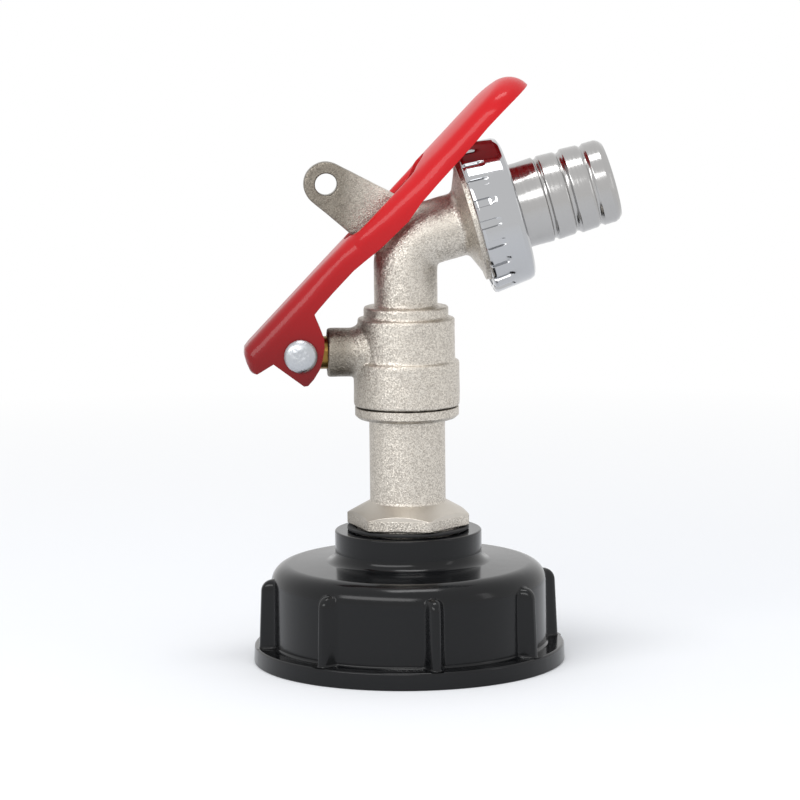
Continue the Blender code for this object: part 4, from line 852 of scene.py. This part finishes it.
# Red epoxy coating over steel: a full gloss with a slight orange peel of 2 mm. Toward the fork end,
# below 118 mm height, the colour is painted darker, down to a dark red, as painted shade.
red, tree, shader = finish("gloss_red_coated_steel", "#d3121b", 0.0, 0.35,
                           Specular_IOR_Level=0.15, Coat_Weight=0.3, Coat_Roughness=0.06)
peel = add(tree, "TexNoise", [("Vector", place_of(tree))], scale=per_mm(2.2), detail=2.0)
depth = add(tree, "TexNoise", [("Vector", place_of(tree))], scale=per_mm(14.0), detail=3.0)
tone = mixed(tree, depth.outputs["Fac"], "#c20d16", "#d1131b")
rise = add(tree, "SeparateXYZ", [("Vector", place_of(tree))])
# Painted shade: the red darkens toward the lever's low end, between heights of 118 and 66 mm.
low_end_shade = add(tree, "MapRange", [("Value", rise.outputs["Z"])], in1=0.066, in2=0.118, in3=1.0, in4=0.0)
shaded_low_end = mixed(tree, low_end_shade.outputs["Result"], tone, "#60070c")
tree.links.new(shaded_low_end, shader.inputs["Base Color"])
orange = raised(tree, shader, peel.outputs["Fac"], 0.25, 0.12)
tree.links.new(orange.outputs["Normal"], shader.inputs["Coat Normal"])
dress(lever, red)
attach(lever, "lever")
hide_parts("lever")

# Hose tail: turned steel with a collar inside the nut and rounded barbs that grip the hose.
# It is polished on the lathe, so it mirrors its surroundings in bands, with fine rings round it.
tail_line = rounded((
    (7.8, 24.8, 0.2), (15.6, 24.8, 0.2), (15.6, 26.6, 0.2), (10.6, 26.6, 0.3), (10.6, 31.2, 0.5),
    (10.75, 35.4, 0.3), (10.15, 35.75, 0.25), (10.2, 36.35, 0.25), (10.75, 36.75, 0.5), (10.55, 40.9, 1.0),
    (9.9, 41.6, 0.35), (10.15, 42.25, 0.3), (10.75, 42.8, 0.5), (10.55, 46.9, 1.0), (9.9, 47.7, 0.35),
    (10.1, 48.1, 0.25), (10.5, 48.6, 0.4), (10.5, 51.5, 0.5), (10.1, 52.4, 0.5), (9.3, 53.2, 0.3),
    (7.8, 53.2, 0.25)), 15.0)
tail = made_of("hose_tail_barbs", turned(tail_line, even(160)), SPOUT)
steel, tree, shader = finish("lathe_polished_steel", "#b0afae", 1.0, 0.13)
rings = lathe_marks(tree, shader, SPOUT, 0.5, 0.012)
streak = add(tree, "MapRange", [("Value", rings.outputs["Fac"])], in1=0.3, in2=0.7, in3=0.12, in4=0.24)
tree.links.new(streak.outputs["Result"], shader.inputs["Roughness"])
dress(evenly_shaded(tail), steel)
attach(tail, "tail")
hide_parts("hose_tail")

# Flat rubber ring between the hose tail's collar and the outlet, squeezed by the nut.
seal_line = rounded(((7.8, 23.2, 0.2), (15.4, 23.2, 0.2), (15.4, 24.5, 0.2), (7.8, 24.5, 0.2)), 30.0)
seal = made_of("tail_ring", turned(seal_line, even(120)), SPOUT)
dress(evenly_shaded(seal), rubber)
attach(seal, "tail")
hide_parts("tail_gasket")

# Union nut: forged brass, chromed bright, turned on the outside and notched from its back edge for
# the fingers. Its thread meshes with the outlet's and draws the hose tail on.
NUT_NOTCHES = 22
NOTCH_END = 23.4
NOTCH_DEPTH = 0.6
NOTCH_RADIUS = 18.8
NOTCH_SIDE = 1.15
NUT_THREAD = (16.9, 0.85, 2.309, 17.9, 26.4)


def nut_shape(radius, height, angle):
    """Sinks the notches into the nut's outside and raises the thread on its inside."""
    major, depth, pitch, start, end = NUT_THREAD
    if abs(radius - major) < 0.01:
        ridge = smoothly((abs(helix(height, angle, pitch) - 0.5) - 0.24) / 0.2)
        ends = smoothly((height - start) / pitch) * smoothly((end - height) / pitch)
        return radius - depth * ridge * ends
    if radius < 17.5 or height > NOTCH_END:
        return radius
    spacing = math.tau / NUT_NOTCHES
    across = abs((angle % spacing) - spacing / 2) * NOTCH_RADIUS
    run_out = min((NOTCH_END - height) / 1.6, 1.0)
    width = 0.95 * math.sqrt(max(1.0 - (1.0 - run_out) ** 2, 0.0))
    flank = smoothly((width + 0.12 - across) / 0.24)
    return radius - NOTCH_DEPTH * flank * run_out


nut_line = rounded((
    (11.05, 28.7, 0.25), (16.7, 28.7, 0.4), (17.75, 28.15, 0.5), (18.2, 27.1, 0.5), (18.52, 23.7, 0.0),
    (19.0, 18.6, 0.5), (18.75, 17.9, 0.3), (18.1, 17.6, 0.2), (16.9, 17.6, 0.15), (16.9, 26.9, 0.2),
    (11.05, 26.9, 0.2)), 12.0)
nut_line = divided(nut_line, 0.3, 17.7, 26.8)
nut_angles = []
for notch in range(NUT_NOTCHES):
    middle = (notch + 0.5) * math.tau / NUT_NOTCHES
    flank = [NOTCH_SIDE, 1.07, 0.99, 0.91, 0.83, 0.6, 0.3]
    steps = [-away for away in flank] + [0.0] + flank[::-1]
    nut_angles += [middle + away / NOTCH_RADIUS for away in steps]
    gap = math.tau / NUT_NOTCHES - 2 * NOTCH_SIDE / NOTCH_RADIUS
    nut_angles += [middle + NOTCH_SIDE / NOTCH_RADIUS + gap * step / 6 for step in range(1, 6)]
nut = made_of("union_nut_shell", turned(nut_line, nut_angles, nut_shape), SPOUT, sharp=50.0)
chrome, tree, shader = finish("bright_chrome_plate", "#b6b7b9", 1.0, 0.045)
cloud = add(tree, "TexNoise", [("Vector", place_of(tree))], scale=per_mm(3.0), detail=4.0)
haze = add(tree, "MapRange", [("Value", cloud.outputs["Fac"])], in1=0.35, in2=0.7, in3=0.035, in4=0.1)
tree.links.new(haze.outputs["Result"], shader.inputs["Roughness"])
raised(tree, shader, cloud.outputs["Fac"], 0.2, 0.06)
dress(nut, chrome)
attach(nut, "union")
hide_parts("union_nut")

# Studio: a white table in a white room under broad soft lights. The camera stands where it stood for
# the photograph. The board is matt and keeps the valve's soft shadow; far from it it fades to white.
# Metal and glass see the same white room as the camera; only diffuse surfaces are lit by it less.
BOARD_LIFT = 0.06
ROOM_LIGHT = 0.7


def background_rays(tree):
    """1 for the rays that show the background: the camera's, a mirror's and those through glass."""
    path = add(tree, "LightPath")
    seen = add(tree, "Math", [("Value", path.outputs["Is Camera Ray"])], operation="MAXIMUM")
    tree.links.new(path.outputs["Is Glossy Ray"], seen.inputs[1])
    either = add(tree, "Math", [("Value", seen.outputs["Value"])], operation="MAXIMUM")
    tree.links.new(path.outputs["Is Transmission Ray"], either.inputs[1])
    return either.outputs["Value"]


form = bmesh.new()
bmesh.ops.create_grid(form, x_segments=1, y_segments=1, size=1500.0)
table = made_of("table_top", form)
board, tree, shader = finish("matt_white_board", "#f4f5f7", 0.0, 0.9)
away = add(tree, "VectorMath", [("Vector", place_of(tree))], operation="LENGTH")
edge = add(tree, "MapRange", [("Value", away.outputs["Value"])], in1=0.12, in2=0.5)
glow = add(tree, "Emission", in0=(1.0, 1.0, 1.0, 1.0), in1=1.0)
lift = add(tree, "Emission", in0=(1.0, 1.0, 1.0, 1.0), in1=BOARD_LIFT)
lifted = add(tree, "AddShader")
tree.links.new(shader.outputs["BSDF"], lifted.inputs[0])
tree.links.new(lift.outputs["Emission"], lifted.inputs[1])
seen_board = add(tree, "MixShader", [("Fac", edge.outputs["Result"])])
tree.links.new(lifted.outputs["Shader"], seen_board.inputs[1])
tree.links.new(glow.outputs["Emission"], seen_board.inputs[2])
shown = add(tree, "MixShader", [("Fac", background_rays(tree))])
tree.links.new(shader.outputs["BSDF"], shown.inputs[1])
tree.links.new(seen_board.outputs["Shader"], shown.inputs[2])
tree.links.new(shown.outputs["Shader"], tree.nodes["Material Output"].inputs["Surface"])
dress(table, board)

world = bpy.data.worlds.new("studio")
bpy.context.scene.world = world
world.use_nodes = True
tree = world.node_tree
tree.nodes.clear()
room = add(tree, "Background", in0=(0.95, 0.97, 1.0, 1.0), in1=ROOM_LIGHT)
backdrop = add(tree, "Background", in0=(1.0, 1.0, 1.0, 1.0), in1=1.0)
shown = add(tree, "MixShader", [("Fac", background_rays(tree))])
tree.links.new(room.outputs["Background"], shown.inputs[1])
tree.links.new(backdrop.outputs["Background"], shown.inputs[2])
add(tree, "OutputWorld", [("Surface", shown.outputs["Shader"])])

TARGET = Vector((0.0, 0.0, 0.07))
# Each lamp: its place and size in metres and its power in watts.
LAMPS = (
    ("key_left", (-0.47, -0.76, 0.55), (1.15, 0.28), 4.2),
    ("side_right", (0.95, -0.45, 0.35), (0.15, 0.5), 0.3),
    ("overhead", (0.02, -0.12, 0.95), (0.42, 0.22), 1.8),
)
for name, place, size, power in LAMPS:
    lamp = bpy.data.lights.new(name, "AREA")
    lamp.shape = "RECTANGLE"
    lamp.size, lamp.size_y = size
    lamp.energy = power
    holder = bpy.data.objects.new(name, lamp)
    bpy.context.scene.collection.objects.link(holder)
    holder.location = place
    holder.rotation_euler = (TARGET - Vector(place)).to_track_quat("-Z", "Y").to_euler()

CAMERA_PLACE = Vector((-61.70, -927.59, 197.19)) * MM
turn, rise, roll = math.radians(-3.7), math.radians(8.061), math.radians(0.602)
back = Vector((math.sin(turn) * math.cos(rise), -math.cos(turn) * math.cos(rise), math.sin(rise)))
level = Vector((math.cos(turn), math.sin(turn), 0.0))
above = back.cross(level)
right = level * math.cos(roll) - above * math.sin(roll)
up = level * math.sin(roll) + above * math.cos(roll)
lens = bpy.data.cameras.new("camera")
lens.lens = 169.6
lens.sensor_width = 36.0
camera = bpy.data.objects.new("camera", lens)
bpy.context.scene.collection.objects.link(camera)
camera.matrix_world = Matrix.Translation(CAMERA_PLACE) @ Matrix((right, up, back)).transposed().to_4x4()
bpy.context.scene.camera = camera
bpy.context.scene.view_settings.view_transform = "Standard"
